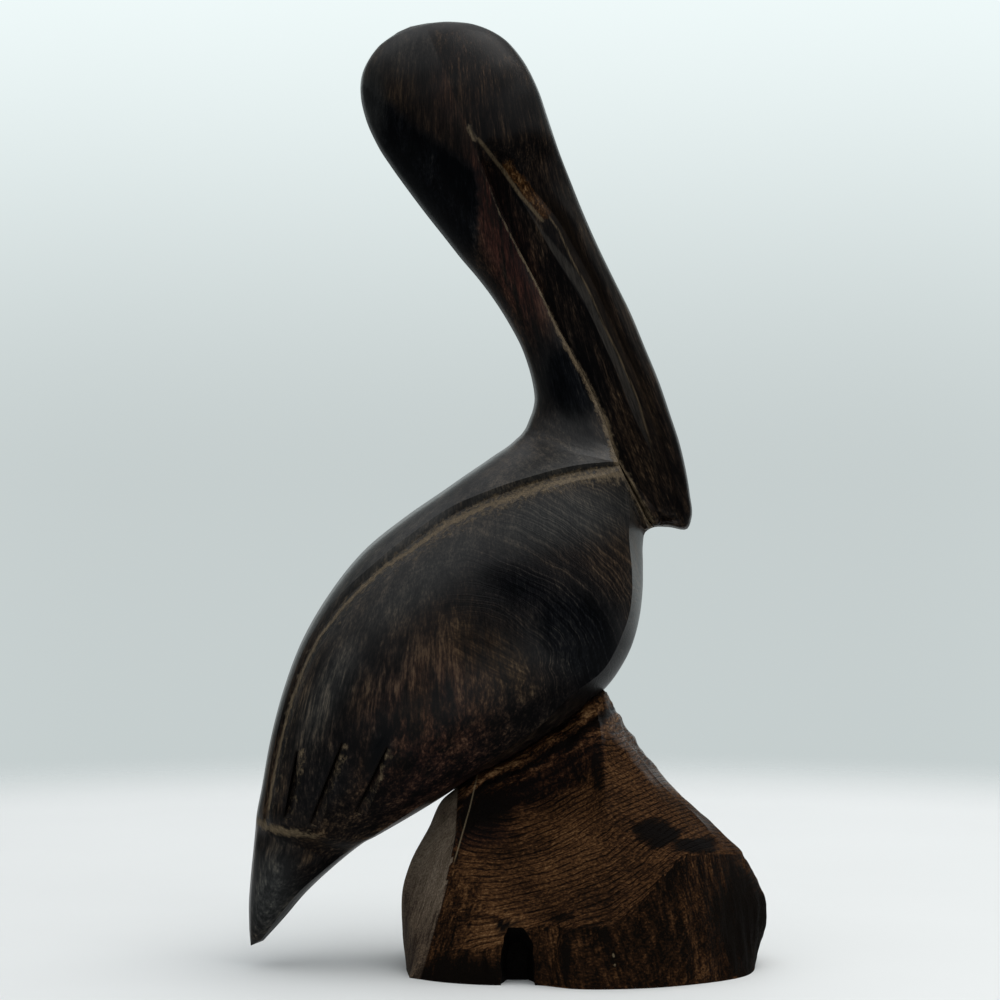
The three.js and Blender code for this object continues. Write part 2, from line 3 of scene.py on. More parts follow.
import bmesh
import bpy
import numpy as np
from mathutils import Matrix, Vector, noise
from mathutils.bvhtree import BVHTree


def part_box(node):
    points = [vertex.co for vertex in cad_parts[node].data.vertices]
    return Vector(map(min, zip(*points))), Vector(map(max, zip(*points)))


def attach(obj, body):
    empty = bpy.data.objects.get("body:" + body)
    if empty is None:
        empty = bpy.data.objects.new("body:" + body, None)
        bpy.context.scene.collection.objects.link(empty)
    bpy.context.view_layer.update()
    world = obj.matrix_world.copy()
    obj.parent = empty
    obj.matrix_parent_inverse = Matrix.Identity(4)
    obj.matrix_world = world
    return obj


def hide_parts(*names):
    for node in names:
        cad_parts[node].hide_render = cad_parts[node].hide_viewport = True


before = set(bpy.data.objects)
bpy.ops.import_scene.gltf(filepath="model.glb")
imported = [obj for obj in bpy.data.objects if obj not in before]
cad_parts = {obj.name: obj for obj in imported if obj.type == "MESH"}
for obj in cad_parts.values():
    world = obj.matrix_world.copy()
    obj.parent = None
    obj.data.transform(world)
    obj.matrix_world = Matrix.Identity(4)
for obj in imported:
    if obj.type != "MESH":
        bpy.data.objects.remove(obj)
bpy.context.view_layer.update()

NODE = "pelican_statue"
PIECE = "pelican_carving"
MM = 0.001

# Bird sections from the tail tip to the crown. Each is a path over the side of the bird: from the
# back edge, over the middle line (the wing's upper groove, then the line between neck and bill),
# to the front edge. All rows begin with
#   back x z, middle x z, front x z, half width, peak (where it is widest).
# A row of the body goes on with
#   depth of the groove on the middle line, distances to its floor and its far side,
#   k1 and k2 (where the side turns between middle and front).
# A row of neck and head goes on with
#   reach of the round part, wall (how far the neck steps down to the bill), blend radius of that
#   join, k1 and k2, half widths of the bill at the middle line, at k1 and at k2.
BODY_SECTIONS = [
    (-69.8, 9.6, -68.6, 8.6, -66, 6.7, 3.2, 0.5, 0, 1.3, 2.6, 0.4, 0.8),
    (-69.9, 16.3, -68.2, 15.6, -60.6, 12.6, 6.2, 0.5, 0, 1.3, 2.6, 0.4, 0.8),
    (-69.4, 24, -67.4, 23.4, -54.6, 19.6, 9.4, 0.5, 0, 1.3, 2.6, 0.4, 0.85),
    (-68.7, 31, -66.4, 30.6, -47.8, 26, 11.8, 0.5, 0, 1.3, 2.6, 0.4, 0.9),
    (-68, 38.4, -65.5, 38.2, -40.2, 32.2, 13.8, 0.5, 0, 1.3, 2.6, 0.4, 0.93),
    (-67.9, 39.8, -65.4, 39.6, -38.8, 33.2, 15.6, 0.5, 0.5, 0.9, 2.4, 0.4, 0.93),
    (-66.4, 48, -64.5, 47.4, -34.4, 35.6, 18.6, 0.5, 1, 1, 2.8, 0.4, 0.94),
    (-64.1, 60.7, -62.2, 59.9, -26.4, 40.2, 22.2, 0.5, 1.3, 1.1, 3.2, 0.4, 0.94),
    (-60.6, 74.1, -58.8, 73.2, -18.1, 45.2, 25.2, 0.5, 1.5, 1.3, 3.6, 0.4, 0.94),
    (-55.5, 87.6, -53.9, 86.4, -9, 51, 27.4, 0.5, 1.7, 1.6, 4.2, 0.42, 0.94),
    (-48.5, 99.7, -46.5, 98, 1.5, 56.4, 28.6, 0.5, 1.8, 1.8, 4.8, 0.44, 0.93),
    (-39, 111.6, -35.8, 108.3, 12, 62.8, 29, 0.49, 1.9, 2, 5.2, 0.45, 0.92),
    (-27.6, 120.9, -24.3, 117.4, 21.2, 69.9, 28.8, 0.48, 1.9, 2.1, 5.6, 0.46, 0.9),
    (-17.6, 127.8, -13.6, 124.3, 28.8, 78, 27.8, 0.47, 1.9, 2.1, 5.6, 0.46, 0.92),
    (-11.6, 132, -2.5, 128.8, 33, 85.6, 26, 0.46, 1.8, 2.1, 5.4, 0.46, 0.905),
    (-7, 135.1, 7, 131.8, 35.2, 93.4, 23.6, 0.46, 1.6, 2, 4.8, 0.46, 0.89),
    (-3.4, 137.6, 14.6, 133.8, 36.1, 101, 20.8, 0.46, 1.4, 1.9, 4.4, 0.46, 0.83),
    (-0.8, 139.3, 21.2, 134.9, 36.2, 108.2, 18.2, 0.46, 1.2, 1.7, 4, 0.38, 0.7),
    (1, 140.7, 26.2, 135.3, 36.2, 113.6, 16.3, 0.45, 0.8, 1.4, 3, 0.3, 0.58),
    (2.1, 141.7, 28.8, 135.4, 36.8, 116.6, 15.2, 0.44, 0.4, 1.1, 2.2, 0.25, 0.4),
]
HEAD_SECTIONS = [
    (3, 142.5, 28.7, 136, 38.4, 117.7, 14.7, 0.44, 51, 1, 0, 0.6, 0.9, 6.6, 6.4, 5.4),
    (4, 143.7, 28.5, 136.6, 43, 118, 14.2, 0.44, 49, 1, 0, 0.75, 0.92, 6.7, 6.5, 5.2),
    (4.9, 145.2, 28.2, 137.3, 48.2, 117.6, 13.7, 0.44, 47, 1, 0, 0.64, 0.92, 6.7, 6.5, 4.6),
    (5.7, 147.2, 27.9, 138.1, 49.3, 120.6, 13.2, 0.44, 45, 1, 0, 0.58, 0.9, 6.8, 6.6, 4.8),
    (6.5, 149.4, 27.5, 139.2, 48.8, 127, 12.7, 0.44, 42.5, 1, 0, 0.54, 0.88, 6.8, 6.8, 5),
    (7, 152.2, 26.9, 141.2, 47.7, 133.6, 12.2, 0.45, 39.5, 1, 0, 0.51, 0.86, 6.9, 7, 5.1),
    (6.7, 155.6, 25.9, 144.6, 46, 140.8, 11.6, 0.46, 35.5, 1, 0, 0.478, 0.83, 6.9, 7.3, 5.2),
    (5.6, 160.4, 23.7, 150.4, 43.5, 148.4, 11.2, 0.5, 30, 1, 0, 0.44, 0.813, 6.9, 7.6, 5.3),
    (3.4, 166.6, 20.1, 157.9, 40.5, 157.2, 11, 0.52, 26.5, 1, 0, 0.456, 0.81, 7, 7.9, 5.5),
    (0, 173, 16.1, 165.6, 36.8, 166.2, 11, 0.54, 24, 1, 0, 0.464, 0.787, 7.1, 8.1, 5.6),
    (-4, 179.3, 11.5, 173.9, 32.8, 175.8, 11, 0.56, 22.5, 1, 0, 0.474, 0.775, 7.2, 8.3, 5.7),
    (-8.2, 184.9, 7.9, 181.8, 28.4, 184.7, 11.1, 0.56, 22.5, 1, 0, 0.424, 0.795, 7.4, 8.5, 5.8),
    (-12.8, 190.3, 3.8, 189.6, 24, 193.8, 11.5, 0.56, 23.2, 1, 0, 0.38, 0.787, 7.8, 8.8, 5.9),
    (-17.6, 196.4, 0.2, 196.6, 20, 202.9, 12.2, 0.433, 33, 0.85, 0.5, 0.355, 0.727, 8.4, 9.2, 6.4),
    (-22.5, 202.6, -3.2, 203.8, 16.8, 210.9, 13.1, 0.39, 40.5, 0.6, 1.5, 0.295, 0.6, 9, 9.6, 7),
    (-27.3, 209, -6.2, 211.2, 13.7, 218.9, 14, 0.42, 42.5, 0.45, 1.5, 0.27, 0.56, 9.4, 9.4, 7.2),
    (-31.6, 215, -8.9, 218.4, 10.9, 227.2, 14.7, 0.46, 44.6, 0, 3.5, 0.14, 0.5, 9, 8.8, 6.8),
    (-35.4, 221, -11.6, 227.6, 7.5, 236.9, 15.1, 0.46, 45.9, 0, 6, 0.2, 0.55, 7.6, 7.2, 5.6),
    (-38.3, 227.5, -14.2, 235.8, 3.6, 244.1, 15, 0.48, 45.1, 0, 5, 0.3, 0.65, 5, 4.8, 3.8),
    (-39.8, 234.2, -16.4, 242.6, -1.4, 249.6, 13.9, 0.48, 41.5, 0, 3, 0.4, 0.75, 3, 2.8, 2.4),
    (-39.2, 240.6, -19.4, 248, -8, 252.9, 11.4, 0.48, 33.5, 0, 2, 0.4, 0.75, 1.4, 1.4, 1.2),
    (-35.8, 246.4, -22.6, 251.3, -14.6, 253.9, 7.2, 0.48, 22.2, 0, 1, 0.4, 0.75, 0.6, 0.6, 0.5),
    (-30.6, 250.6, -25.2, 252.3, -20.6, 253.6, 3.4, 0.48, 10.4, 0, 0, 0.4, 0.75, 0.2, 0.2, 0.2),
]

# Rings of corners of the rough foot, front left first and round by the right: x, y, z.
FOOT_RINGS = [
    [
        (-26, -18.4, 0), (-16.5, -25, 0), (-5.1, -28.6, 0), (7.6, -28.9, 0), (17, -34, 0),
        (29, -34.2, 0), (47, -28.2, 0), (63, -14.5, 0), (66.2, -1, 0), (64, 14, 0), (51, 27, 0),
        (29, 33, 0), (5, 31, 0), (-17, 25, 0), (-26, 12, 0), (-27.4, -4, 0),
    ],
    [
        (-24, -19.4, 3.2), (-15.3, -25.1, 4), (-5.1, -29, 5), (7.8, -29.8, 8), (17.3, -34.2, 8),
        (28, -34.4, 8), (46.5, -29.5, 14), (60.4, -15, 16), (69.2, -1, 16.5), (67, 14, 13),
        (52, 28, 11), (29, 33.5, 10), (4.5, 32, 9), (-17.5, 26, 8), (-27.5, 12, 8), (-28.4, -3, 9),
    ],
    [
        (-22, -20, 6.6), (-14, -25.2, 7.8), (-5.1, -29, 9.2), (8.7, -30, 15.4),
        (17.6, -33.4, 15.5), (26, -34.5, 15.8), (44.6, -29, 33.2), (57.5, -13.4, 32.6),
        (63, 0, 30.6), (61, 13, 29), (48, 26, 26), (28, 31, 22), (4.5, 30, 20), (-17, 25, 17),
        (-28, 11.5, 18), (-28.2, -2, 22),
    ],
    [
        (-15.8, -19.5, 27.9), (-8, -20.5, 30), (0, -19.5, 32), (9, -19.8, 35), (17, -21.5, 37),
        (25.4, -23.8, 39), (41.3, -19.7, 42.5), (50, -10.8, 41.2), (54.5, 0.5, 38.4), (52, 11, 36),
        (42, 20, 35), (26, 25, 34), (6, 25, 32), (-14, 21, 29), (-25.5, 10, 27), (-26.3, -1, 28),
    ],
    [
        (-13.2, -17.6, 39.5), (-7, -13.5, 42), (0, -11.5, 44.5), (8.4, -11, 47), (16.6, -13, 50),
        (25.2, -18.4, 50), (34.3, -12.7, 52.6), (40.6, -7, 49.8), (44, 0.5, 48.1), (42, 7.5, 47),
        (34, 13.5, 47), (21.5, 17, 46), (4.5, 17.5, 44), (-11, 15.5, 40), (-20, 8, 37.5),
        (-21.5, -0.5, 37),
    ],
    [
        (-10.4, -13.6, 50), (-5, -12.6, 52.6), (1.4, -12, 56), (9.4, -11.8, 61), (17.4, -11.4, 66),
        (24.6, -13, 62), (29.6, -8.6, 61), (32.4, -4.2, 61), (34.2, 0.4, 60.5), (33, 5, 60),
        (28, 9, 60), (19, 12, 60), (6, 12.5, 57), (-7.5, 11, 50), (-15, 6, 46), (-17.5, -0.5, 45),
    ],
    [
        (-8.6, -10.5, 53), (-3.6, -9.6, 56), (3, -8.8, 60), (10.6, -8.4, 66), (17.6, -8, 71),
        (22.6, -8.4, 74.6), (25.4, -6.6, 74.6), (26.8, -3.4, 73), (27.4, 0.3, 70), (26.8, 4, 70),
        (23, 7, 71), (15, 9, 68), (5, 9.5, 62), (-6, 8.5, 54), (-13, 4.5, 48.5),
        (-14.5, -0.5, 47.5),
    ],
]

# Places of the values in a full section row.
BACK, MIDDLE, FRONT = slice(0, 2), slice(2, 4), slice(4, 6)
WIDE, PEAK, REACH, GROOVE, FLOOR, RISE, WALL, BLEND, K1, K2 = range(6, 16)
BILL_M, BILL_1, BILL_2, IS_BILL = range(16, 20)
HEAD_GROOVE = (0, 1.3, 2.6)
TAIL_TIP = (-69.4, 0, 5.3)
CROWN = (-26.4, 0, 252.8)
FOOT_TOP = (6, 0, 66)
FOOT_MIDDLE = (10, 0, 0)
# Lengths of the mesh's steps up the bird and on the foot, and its columns across half a section.
STATION_STEP, LEAST_GAP, FOOT_STEP = 0.95, 0.6, 1.15
COLUMN_COUNTS = (18, 3, 4, 13, 12, 9)
GROOVE_ROOM = 0.6
SECTION_POWER = 2.15
WHOLE_REACH = 1.08
NECK_WALL = 1.3
# Beyond the jaw's edge the head runs on into the culmen where its wall is less than this.
WHOLE_WALL, CULMEN_RISE = 0.85, 3.5
CULMEN_GROOVE = 0.9
EDGE_FADE = 0.8
# The front edge of the body closes with this power, and runs in flatter where k2 is small.
BREAST_POWER, BREAST_FLATNESS, BREAST_FULL, BREAST_RANGE = 0.5, 0.25, 0.93, 0.1
TINY, FAR = 1e-6, 1e9

# Hollow in the lower front of the foot, seen from the front, its centre, and y with share of size.
HOLLOW_ARCH = [
    (-2.2, -2), (6.9, -2), (6.8, 4), (6.3, 10.2), (5, 13.4), (3.4, 15.2), (-0.4, 15.4), (-1.4, 12.8),
    (-2.1, 8),
]
HOLLOW_CENTRE = (2.4, 4)
HOLLOW_DEPTHS = [(-45, 1), (-33, 1), (-30, 1), (-27, 0.95), (-24.5, 0.85), (-21, 0.65)]
HOLLOW_PARTS = 5
# How far round the arch and from which depth the hollow is painted black as shade.
HOLLOW_SHADE_REACH, HOLLOW_SHADE_FROM = 0.8, (-28.6, -27.6)

# Feather slits near the end of each wing, upper and lower end, in the side view.
SLITS = [((-55.7, 59.5), (-59.3, 42.0)), ((-43.6, 62.4), (-52.4, 40.6)), ((-31.8, 61.4), (-40.2, 43.8))]
SLIT_DEPTH, SLIT_WIDTH, SLIT_LIP, CUTTER_OUT, OUTSIDE = 1.6, 3.0, 0.25, 3, -80
# place along a slit, share of its depth, share of its width
SLIT_PROFILE = [(0, 0.1, 0.15), (0.25, 0.8, 0.5), (0.6, 1, 0.9), (0.9, 0.8, 1), (1, 0.1, 1)]

# Waves of hand work: height, size, stretch and seed of each.
EVEN = (1, 1, 1)
WAVES = {
    "bird": [(0.14, 17, EVEN, 4), (0.05, 5, EVEN, 6)],
    "chips": [(0.3, 9, EVEN, 1), (0.16, 3.1, EVEN, 2)],
    "split": [(0.7, 2.6, (1, 1, 0.1), 3), (0.4, 1.2, (1, 1, 0.15), 5)],
    "torn": [(0.5, 1.6, (0.4, 1, 1), 17)],
    "crest": [(0.8, 2.8, EVEN, 21)],
    "ragged": [(0.7, 3.4, (1, 1, 0.8), 9)],
    "ledge": [(1, 4, EVEN, 13)],
    "ledge_line": [(0.35, 6, EVEN, 11), (0.22, 2.2, EVEN, 12)],
    "arch_sideways": [(0.7, 2.6, EVEN, 31)],
    "arch_upwards": [(0.7, 2.6, EVEN, 32)],
    "head_edge": [(1, 2.2, (1, 1, 0.2), 41)],
}
SEED_WAY = (1, 1.7, 0.6)
CALM_EDGE = 4
# Ridges and dents of the two ledges under the belly: height, place below the belly line and width,
# as shares of the ledges' width. That width grows to the right.
LEDGES = [(0.9, 0.75, 0.3), (-0.8, 1.3, 0.18), (0.8, 1.9, 0.35), (-0.5, 0.1, 0.2)]
LEDGE_WIDTHS, LEDGE_MEAN, LEDGE_START, LEDGE_END = (1.9, 4.2), 0.8, (-12, -4), (27, 22)
# Where each kind of hewn roughness fades in, in mm or as a part of the surface's direction.
TORN_BELOW, TORN_RIGHT = (4.2, 2), (-10, 0)
SPLIT_BELOW, UPRIGHT_SLOPE = (42, 20), 2.2
RAGGED_RIGHT, CREST_RIGHT, CREST_ABOVE = (60, 66), (24, 30), (50, 58)
SAWN_FACING, SAWN_SMOOTH = (-0.45, -0.6), 0.85
ON_GROUND, GROUND_FADE = 0.01, 1.5

# Carved lines in the side view, in mm. Saw and strip are the edges of the sawn flat on the left of
# the foot and of the narrow hewn strip to its right.
LINES = {
    "wing": [
        (-64.7, 39.6), (-63.9, 46.1), (-62.1, 55.5), (-60.3, 64.1), (-57.9, 72.6), (-54.3, 82.0),
        (-50.7, 89.2), (-43.5, 98.4), (-33.4, 108.3), (-27.5, 112.0), (-17.0, 119.8), (-7.4, 124.5),
        (0.2, 127.1), (7.8, 130.0), (17.5, 132.4), (24.1, 133.2), (30, 133.6),
    ],
    "neck": [
        (-9.0, 218.0), (-4.8, 207.3), (-2.2, 200.8), (3.2, 190.4), (8.5, 180.6), (13.8, 169.1),
        (19.9, 158.5), (25.6, 146.5), (28.9, 134.2), (31.6, 130.1), (33.6, 125.3), (37.5, 118.4),
    ],
    "culmen": [
        (-2.5, 219.5), (3.2, 214.7), (8.6, 210.1), (12.7, 204.7), (16.7, 199.3), (20.5, 190.7),
        (24.8, 183.1), (28.8, 173.7), (32.8, 165.6), (38.2, 153.5), (42.2, 139.0), (44.6, 124.0),
    ],
    "jaw": [
        (-7.5, 219.0), (-2.2, 211.6), (3.2, 205.0), (11.1, 191.8), (19.9, 178.5), (28.5, 159.9),
        (32.5, 149.3), (35.1, 143.9),
    ],
    "tail_step": [
        (-66.5, 40.6), (-63.5, 39.7), (-59.1, 38.9), (-52.7, 38.5), (-47.3, 37.5), (-43.7, 36.9),
        (-40, 35.5),
    ],
    "saw": [
        (-13.4, 50.5), (-14.2, 32), (-17.6, 19.1), (-21, 7.3), (-23.4, -1),
    ],
    "strip": [
        (-8.2, 53.2), (-10.4, 44), (-13.2, 34.5), (-14.4, 30.5),
    ],
}
BELLY_LINE = [
    (-19.0, 45.1), (-8.8, 52.4), (-2.2, 56.0), (8.4, 62.3), (17.7, 69.1), (21.7, 72.8), (27, 76.8),
]
# The dark wood on the side of the head ends above at this line and towards the breast at a grain
# line. For its three edges: how far they wander, and from where to where they fade.
HEAD_LINE = [(-30.5, 230), (-22, 222.6), (-10, 213.6)]
HEAD_GRAIN_X = -8.1
HEAD_EDGES = [(0.7, -0.8, 1.6), (0.3, -0.3, 0.3), (1.5, 187, 196)]
HEAD_DARKNESS = 1.1
# Lines that show on the near side only, and those along which the wood changes.
NEAR_LINES = ("saw", "strip")
RUN_LINES = ("strip", "wing", "neck", "culmen", "tail_step")
NOWHERE = -9

# The pith of the log stands behind the block. Growth rings are counted outwards from it.
PITH = (-2.1, 20.0)
RING_LEAN = -0.64
RING_WIDTH = 1.75
# In the foot the rings run flatter towards the crease and rise evenly beyond it. Right of the crease the
# dark and red patches fade, which leaves painted shade on the face left of it.
CREASE_LOW, CREASE_TOP, CREASE_SOFT, CREASE_SHADE_FADE = (42, 46), 72, 0.4, 0.9
CREASE_X, RING_CLIMB, RING_TURN = 25.5, -0.32, 0.1
# On the polished wing the rings show as arcs nested round one point of the side view. The arcs
# fade in with the direction from it, the distance from it, below the crest and to the right.
SWIRL_CENTRE, SWIRL_WAY, SWIRL_RIGHT = (-11.7, 74.8), (0.5, 0.866), (1, -0.4)
SWIRL_UPWARDS, SWIRL_AWAY, SWIRL_CREST, SWIRL_SIDE = (-0.1, 0.6), (9, 24), (0.5, 5), (-24, 4)
# The fibres fan out downwards. Their spacing is true to scale at this height.
FAN_CENTRE_X, FAN_RATE, FAN_HEIGHT = -20.0, 0.0072, 150.0
# The far side has fainter patches, fainter still on the foot.
FAR_BIRD, FAR_FOOT, FAR_CHANGE, FAR_SIDE = 0.4, 0.85, (80, 66), (-4, 6)

# Soft patches of tone in the side view: x, z, half length, half width, turn in degrees, strength.
DARK_PATCHES = [
    (16, 156, 14, 7.5, 112, 1.3),
    (18, 90, 20, 13, 128, 1.25),
    (12, 74, 13, 7, 40, 0.5),
    (4, 103, 16, 8, 160, 1.05),
    (-49, 52, 16, 7, 62, 0.6),
    (-33, 84, 13, 9, 60, 0.4),
    (-33.5, 61.5, 7, 3.2, 75, 1.1),
    (-45, 53, 8, 3, 68, 0.8),
    (-50, 24, 12, 5, 50, 0.5),
    (-48, 54, 9, 3, 68, 0.7),
    (2.6, 208.5, 8, 2.2, 110, 1.0),
    (16, 186, 22, 4.5, 120, 0.3),
    # partly dark wood, partly painted shade in the scoop under the belly
    (-5, 43.5, 9, 6, 15, 1.15),
    (8, 50, 15, 6, 30, 0.3),
    # partly dark wood, partly painted shade on the face left of the foot's crease
    (23.6, 54.5, 9, 2, 90, 0.8),
    (38.5, 38.8, 6, 3.4, -8, 1.7),
    (48.5, 35.3, 8, 1.7, -8, 1.6),
    (14, 18, 5, 2, 0, 0.7),
    (-3, 16.5, 4, 1.3, -25, 0.8),
    (14.5, 8, 8, 1, 90, 0.9),
    (-12, 2, 16, 5.5, 5, 0.9),
    (63, 14, 10, 17, 0, 1.0),
    (38, 10, 18, 14, 0, 0.3),
    (18, 7, 9, 7, 0, 0.35),
    (4, 5, 7, 11, 0, 0.6),
]
RED_PATCHES = [
    (-1, 194, 24, 6, 112, 1.2),
    (-20, 62, 24, 18, 90, 0.5),
    (-12, 235, 14, 9, 95, 0.35),
    (12, 54, 17, 6, 33, 0.75),
    (-8, 37, 10, 3, 10, 0.7),
    (44, 150, 26, 3, 108, 0.5),
]
TAN_PATCHES = [
    (-3, 84, 13, 5, 138, 0.9),
    (-10, 87, 7, 5, 120, 0.7),
    (-9, 74, 8, 5, 100, 0.5),
    (-22.5, 71.5, 8, 3.6, 90, 1.5),
    (-53, 35, 9, 4, 55, 0.6),
    (-28, 62, 13, 2, 80, 0.6),
    (-14, 62, 9, 2, 85, 0.5),
    (10, 138, 22, 9, 170, 0.5),
    (36, 140, 18, 7, 110, 0.4),
    (-10, 18, 12, 8, 0, 0.9),
    (-36, 60, 8, 2, 70, 0.8),
]
# Grey patches are painted sheen: greyer wood where the upper wing, back, shoulder, tail tip and head rims
# would catch the light.
PAINTED_SHEEN_PATCHES = [
    (-21.5, 106, 30, 6.5, 38, 0.75),
    (13.4, 121, 26, 8, 10, 0.9),
    (-47, 76, 20, 5, 64, 0.85),
    (-30, 114, 34, 7, 42, 0.9),
    (13, 135, 20, 8, 8, 0.8),
    (-64, 20, 14, 7, 75, 1.3),
    (-44, 94, 10, 5, 60, 0.6),
    (-6, 128, 14, 6, 25, 0.7),
    (-36.5, 230, 12, 3.5, 85, 0.9),
    (14, 144, 9, 6, 0, 0.5),
    (-24, 246, 14, 7, 0, 0.6),
]
PATCH_POWER = 1.5

POLISHED, HEWN = 0, 1
POLISHED_SHARP, HEWN_SHARP = 24, 42
FOOT_BOX = np.array([(-40, -34.72, 0), (69.22, 33.71, 90)])
# The ring of corners that is a sharp edge all along the near side, and how sharp the other
# edges are at each ring, from the ground up.
EDGE_RING, EDGE_RING_CORNERS = 2, range(0, 10)
CORNER_EDGES = {
    0: [1, 1, 1, 1, 1, 1, 1],
    5: [0, 0, 0, 0.2, 0.9, 1, 1],
    7: [0, 0, 0.5, 1, 1, 1, 1],
    10: [0.5, 0.6, 0.8, 0.8, 0.6, 0.3, 0],
    12: [0.3, 0.4, 0.8, 1, 0.8, 0.5, 0],
    15: [0.4, 0.6, 0.8, 0.8, 0.6, 0.4, 0],
}
# Short cuts, upper and lower end, that the wood changes near, and a shift sideways. The marks are
# the nick above the neck line and two chips on the foot. Gold is the rasped patch at the root of
# the bill, and its rim the pale line that runs down to it and below it.
CUTS = {
    # Along the slits the wood changes as painted shade on the steep side, and on the sloping side as
    # rasped wood with painted highlight.
    "slit_dark": (SLITS, 0.2),
    "slit_lit": (SLITS, 1.6),
    "mark": (
        [((-10.6, 223.6), (-8.9, 220.4)), ((26.5, 9.0), (26.8, 8.5)), ((27, 6.3), (26.9, 6.0))],
        0,
    ),
    "gold": ([((-0.2, 213.9), (4.4, 208.4)), ((4.4, 208.4), (9.4, 201.8))], 0),
    "gold_rim": (
        [((-8.0, 220.4), (-1.8, 213.4)), ((-1.8, 213.4), (3.0, 206.4)), ((3.0, 206.4), (9.0, 199.6))],
        0,
    ),
}

CARVER_CENTRE = np.array([-0.337, -0.507])
CAMERA_AT = (-0.00195, -0.6995, 0.1253)
CAMERA_LENS = 93.6
TABLE_RADIUS, TABLE_THICK = 0.62, 0.02
TABLE_COLOURS = [(0.74, 0.755, 0.75), (0.79, 0.805, 0.80)]
ROOM_COLOUR = (0.55, 0.605, 0.605)
CEILING_COLOUR = (0.95, 0.975, 1)
# From which to which share of the way straight behind the room is lit, and the same upwards and
# towards the windows.
ROOM_BEHIND, CEILING, WINDOW = (0.75, 0.96), (0.22, 0.8), (0.7, 0.97)
SKY_STRENGTH, CEILING_STRENGTH, WINDOW_STRENGTH, LEFT_STRENGTH, NEAR_STRENGTH = 0.4, 1.2, 0.35, 0.25, 0.02
# name, place, size, power, colour
LIGHTS = [("ceiling_light", (0.42, -0.1, 1.05), (0.9, 0.7), 5, (1, 0.98, 0.95))]
LIGHT_TARGET = (0, 0, 0.1)
POLISHED_GLOSS, HEWN_GLOSS = 0.2, 0.03
POLISHED_RELIEF, HEWN_RELIEF = 0.00012, 0.0004

# Noises in the wood: scale across and along the fibres, detail, roughness.
NOISES = {
    "fibre": (1.9, 0.14, 4, 0.7),
    "streak": (0.5, 0.05, 3, 0.65),
    "cloud": (0.09, 0.05, 3, 0.55),
    "speck": (3.0, 0.55, 2, 0.6),
    "rasp": (2.4, 0.9, 3, 0.75),
    "rasp_edge": (1.1, 0.5, 4, 0.7),
    "hewn_fibre": (1.9, 0.11, 4, 0.72),
    "hewn_split": (0.5, 0.04, 2, 0.6),
    "hewn_cloud": (0.09, 0.06, 3, 0.5),
    "hewn_speck": (2.6, 1.8, 2, 0.6),
}
# Soft limits in the wood: a stored field, from where to where it changes, and the values there.
LIMITS = {
    "bill": ("neck", -0.1, 0.4),
    "body": ("height", 165, 130),
    "belly_dim": ("height", 92, 66, 0.0, 0.13),
    "head_dim": ("height", 165, 200, 0.0, 0.1),
    "streaky": ("height", 92, 72, 1.2, 2.1),
    "calm_tan": ("height", 75, 82, 0.0, -0.9),
    "slanting": ("height", 74, 82, 0.4, 2.4),
    "inside_neck": ("neck", 0.3, -0.3),
    "pocket_start": ("neck_run", 0.0, 0.04),
    "pocket_end": ("neck_run", 0.3, 0.1),
    "under_culmen": ("culmen", -1.0, -3.0),
    "past_neck": ("neck", -0.2, 0.3),
    "belly_matt": ("height", 85, 60, 0.0, 0.8),
    "crown_matt": ("height", 230, 248, 0.0, 0.45),
    "bill_start": ("culmen_run", 0.1, 0.25),
    "bill_end": ("culmen_run", 0.98, 0.65),
    "strip_width": ("culmen_run", 0.14, 0.45, 0.6, 3.6),
    "past_jaw": ("jaw", -0.1, 0.25),
    "below_culmen": ("culmen", -4.0, -4.4),
    "on_culmen": ("culmen", 0.5, 1.6, 0.0, 0.6),
    "culmen_fade": ("culmen_run", 0.8, 0.4, 0.3, 1.0),
    "crest_width": ("wing_run", 0.3, 1.0, 0.8, 1.9),
    "glow_below": ("wing", -6.0, -0.8),
    "glow_above": ("wing", 1.7, 0.0),
    "glow_fade": ("wing_run", 0.35, 0.9, 0.2, 0.7),
    "wing_start": ("wing_run", 0.0, 0.04),
    "neck_shift": ("neck_run", 0.7, 1.0, -0.1, 0.7),
    "neck_width": ("neck_run", 0.15, 0.9, 0.5, 2.2),
    "neck_fade": ("neck_run", -0.01, 0.4, 0.3, 1.0),
    "neck_start": ("neck_run", -0.01, 0.03),
    "step_fade": ("tail_step_run", 0.9, 0.2),
    "slit_rasp_and_highlight": ("slit_lit", 2.0, 0.2, 0.0, 0.5),
    "nick": ("mark", 1.3, 0.1, 0.0, 0.85),
    "gold_rim": ("gold_rim", 0.75, 0.2, 0.0, 0.8),
    "wing_cut_fade": ("wing_run", 0.85, 0.5, 0.3, 1.0),
    "slit_cut_shade": ("slit_dark", 0.9, 0.2, 0.0, 0.9),
    "neck_cut_fade": ("neck_run", 0.9, 0.6, 0.0, 0.6),
    "sawn": ("saw", 0.25, -0.25),
    "near_saw": ("saw", 0.1, -0.3),
    "beside_strip_line": ("strip", 0.0, 0.3),
    "strip_start": ("strip_run", -0.02, 0.02),
    "strip_end": ("strip_run", 1.05, 0.9),
    "ledge_top": ("ledge", -0.3, 0.1),
    "ledge_low": ("ledge", 3.2, 2.4),
    "greyed": ("height", 2, 30, 0.45, 0.92),
    "chip": ("mark", 0.5, 0.2),
    "split_flat": ("height", 36, 42),
}
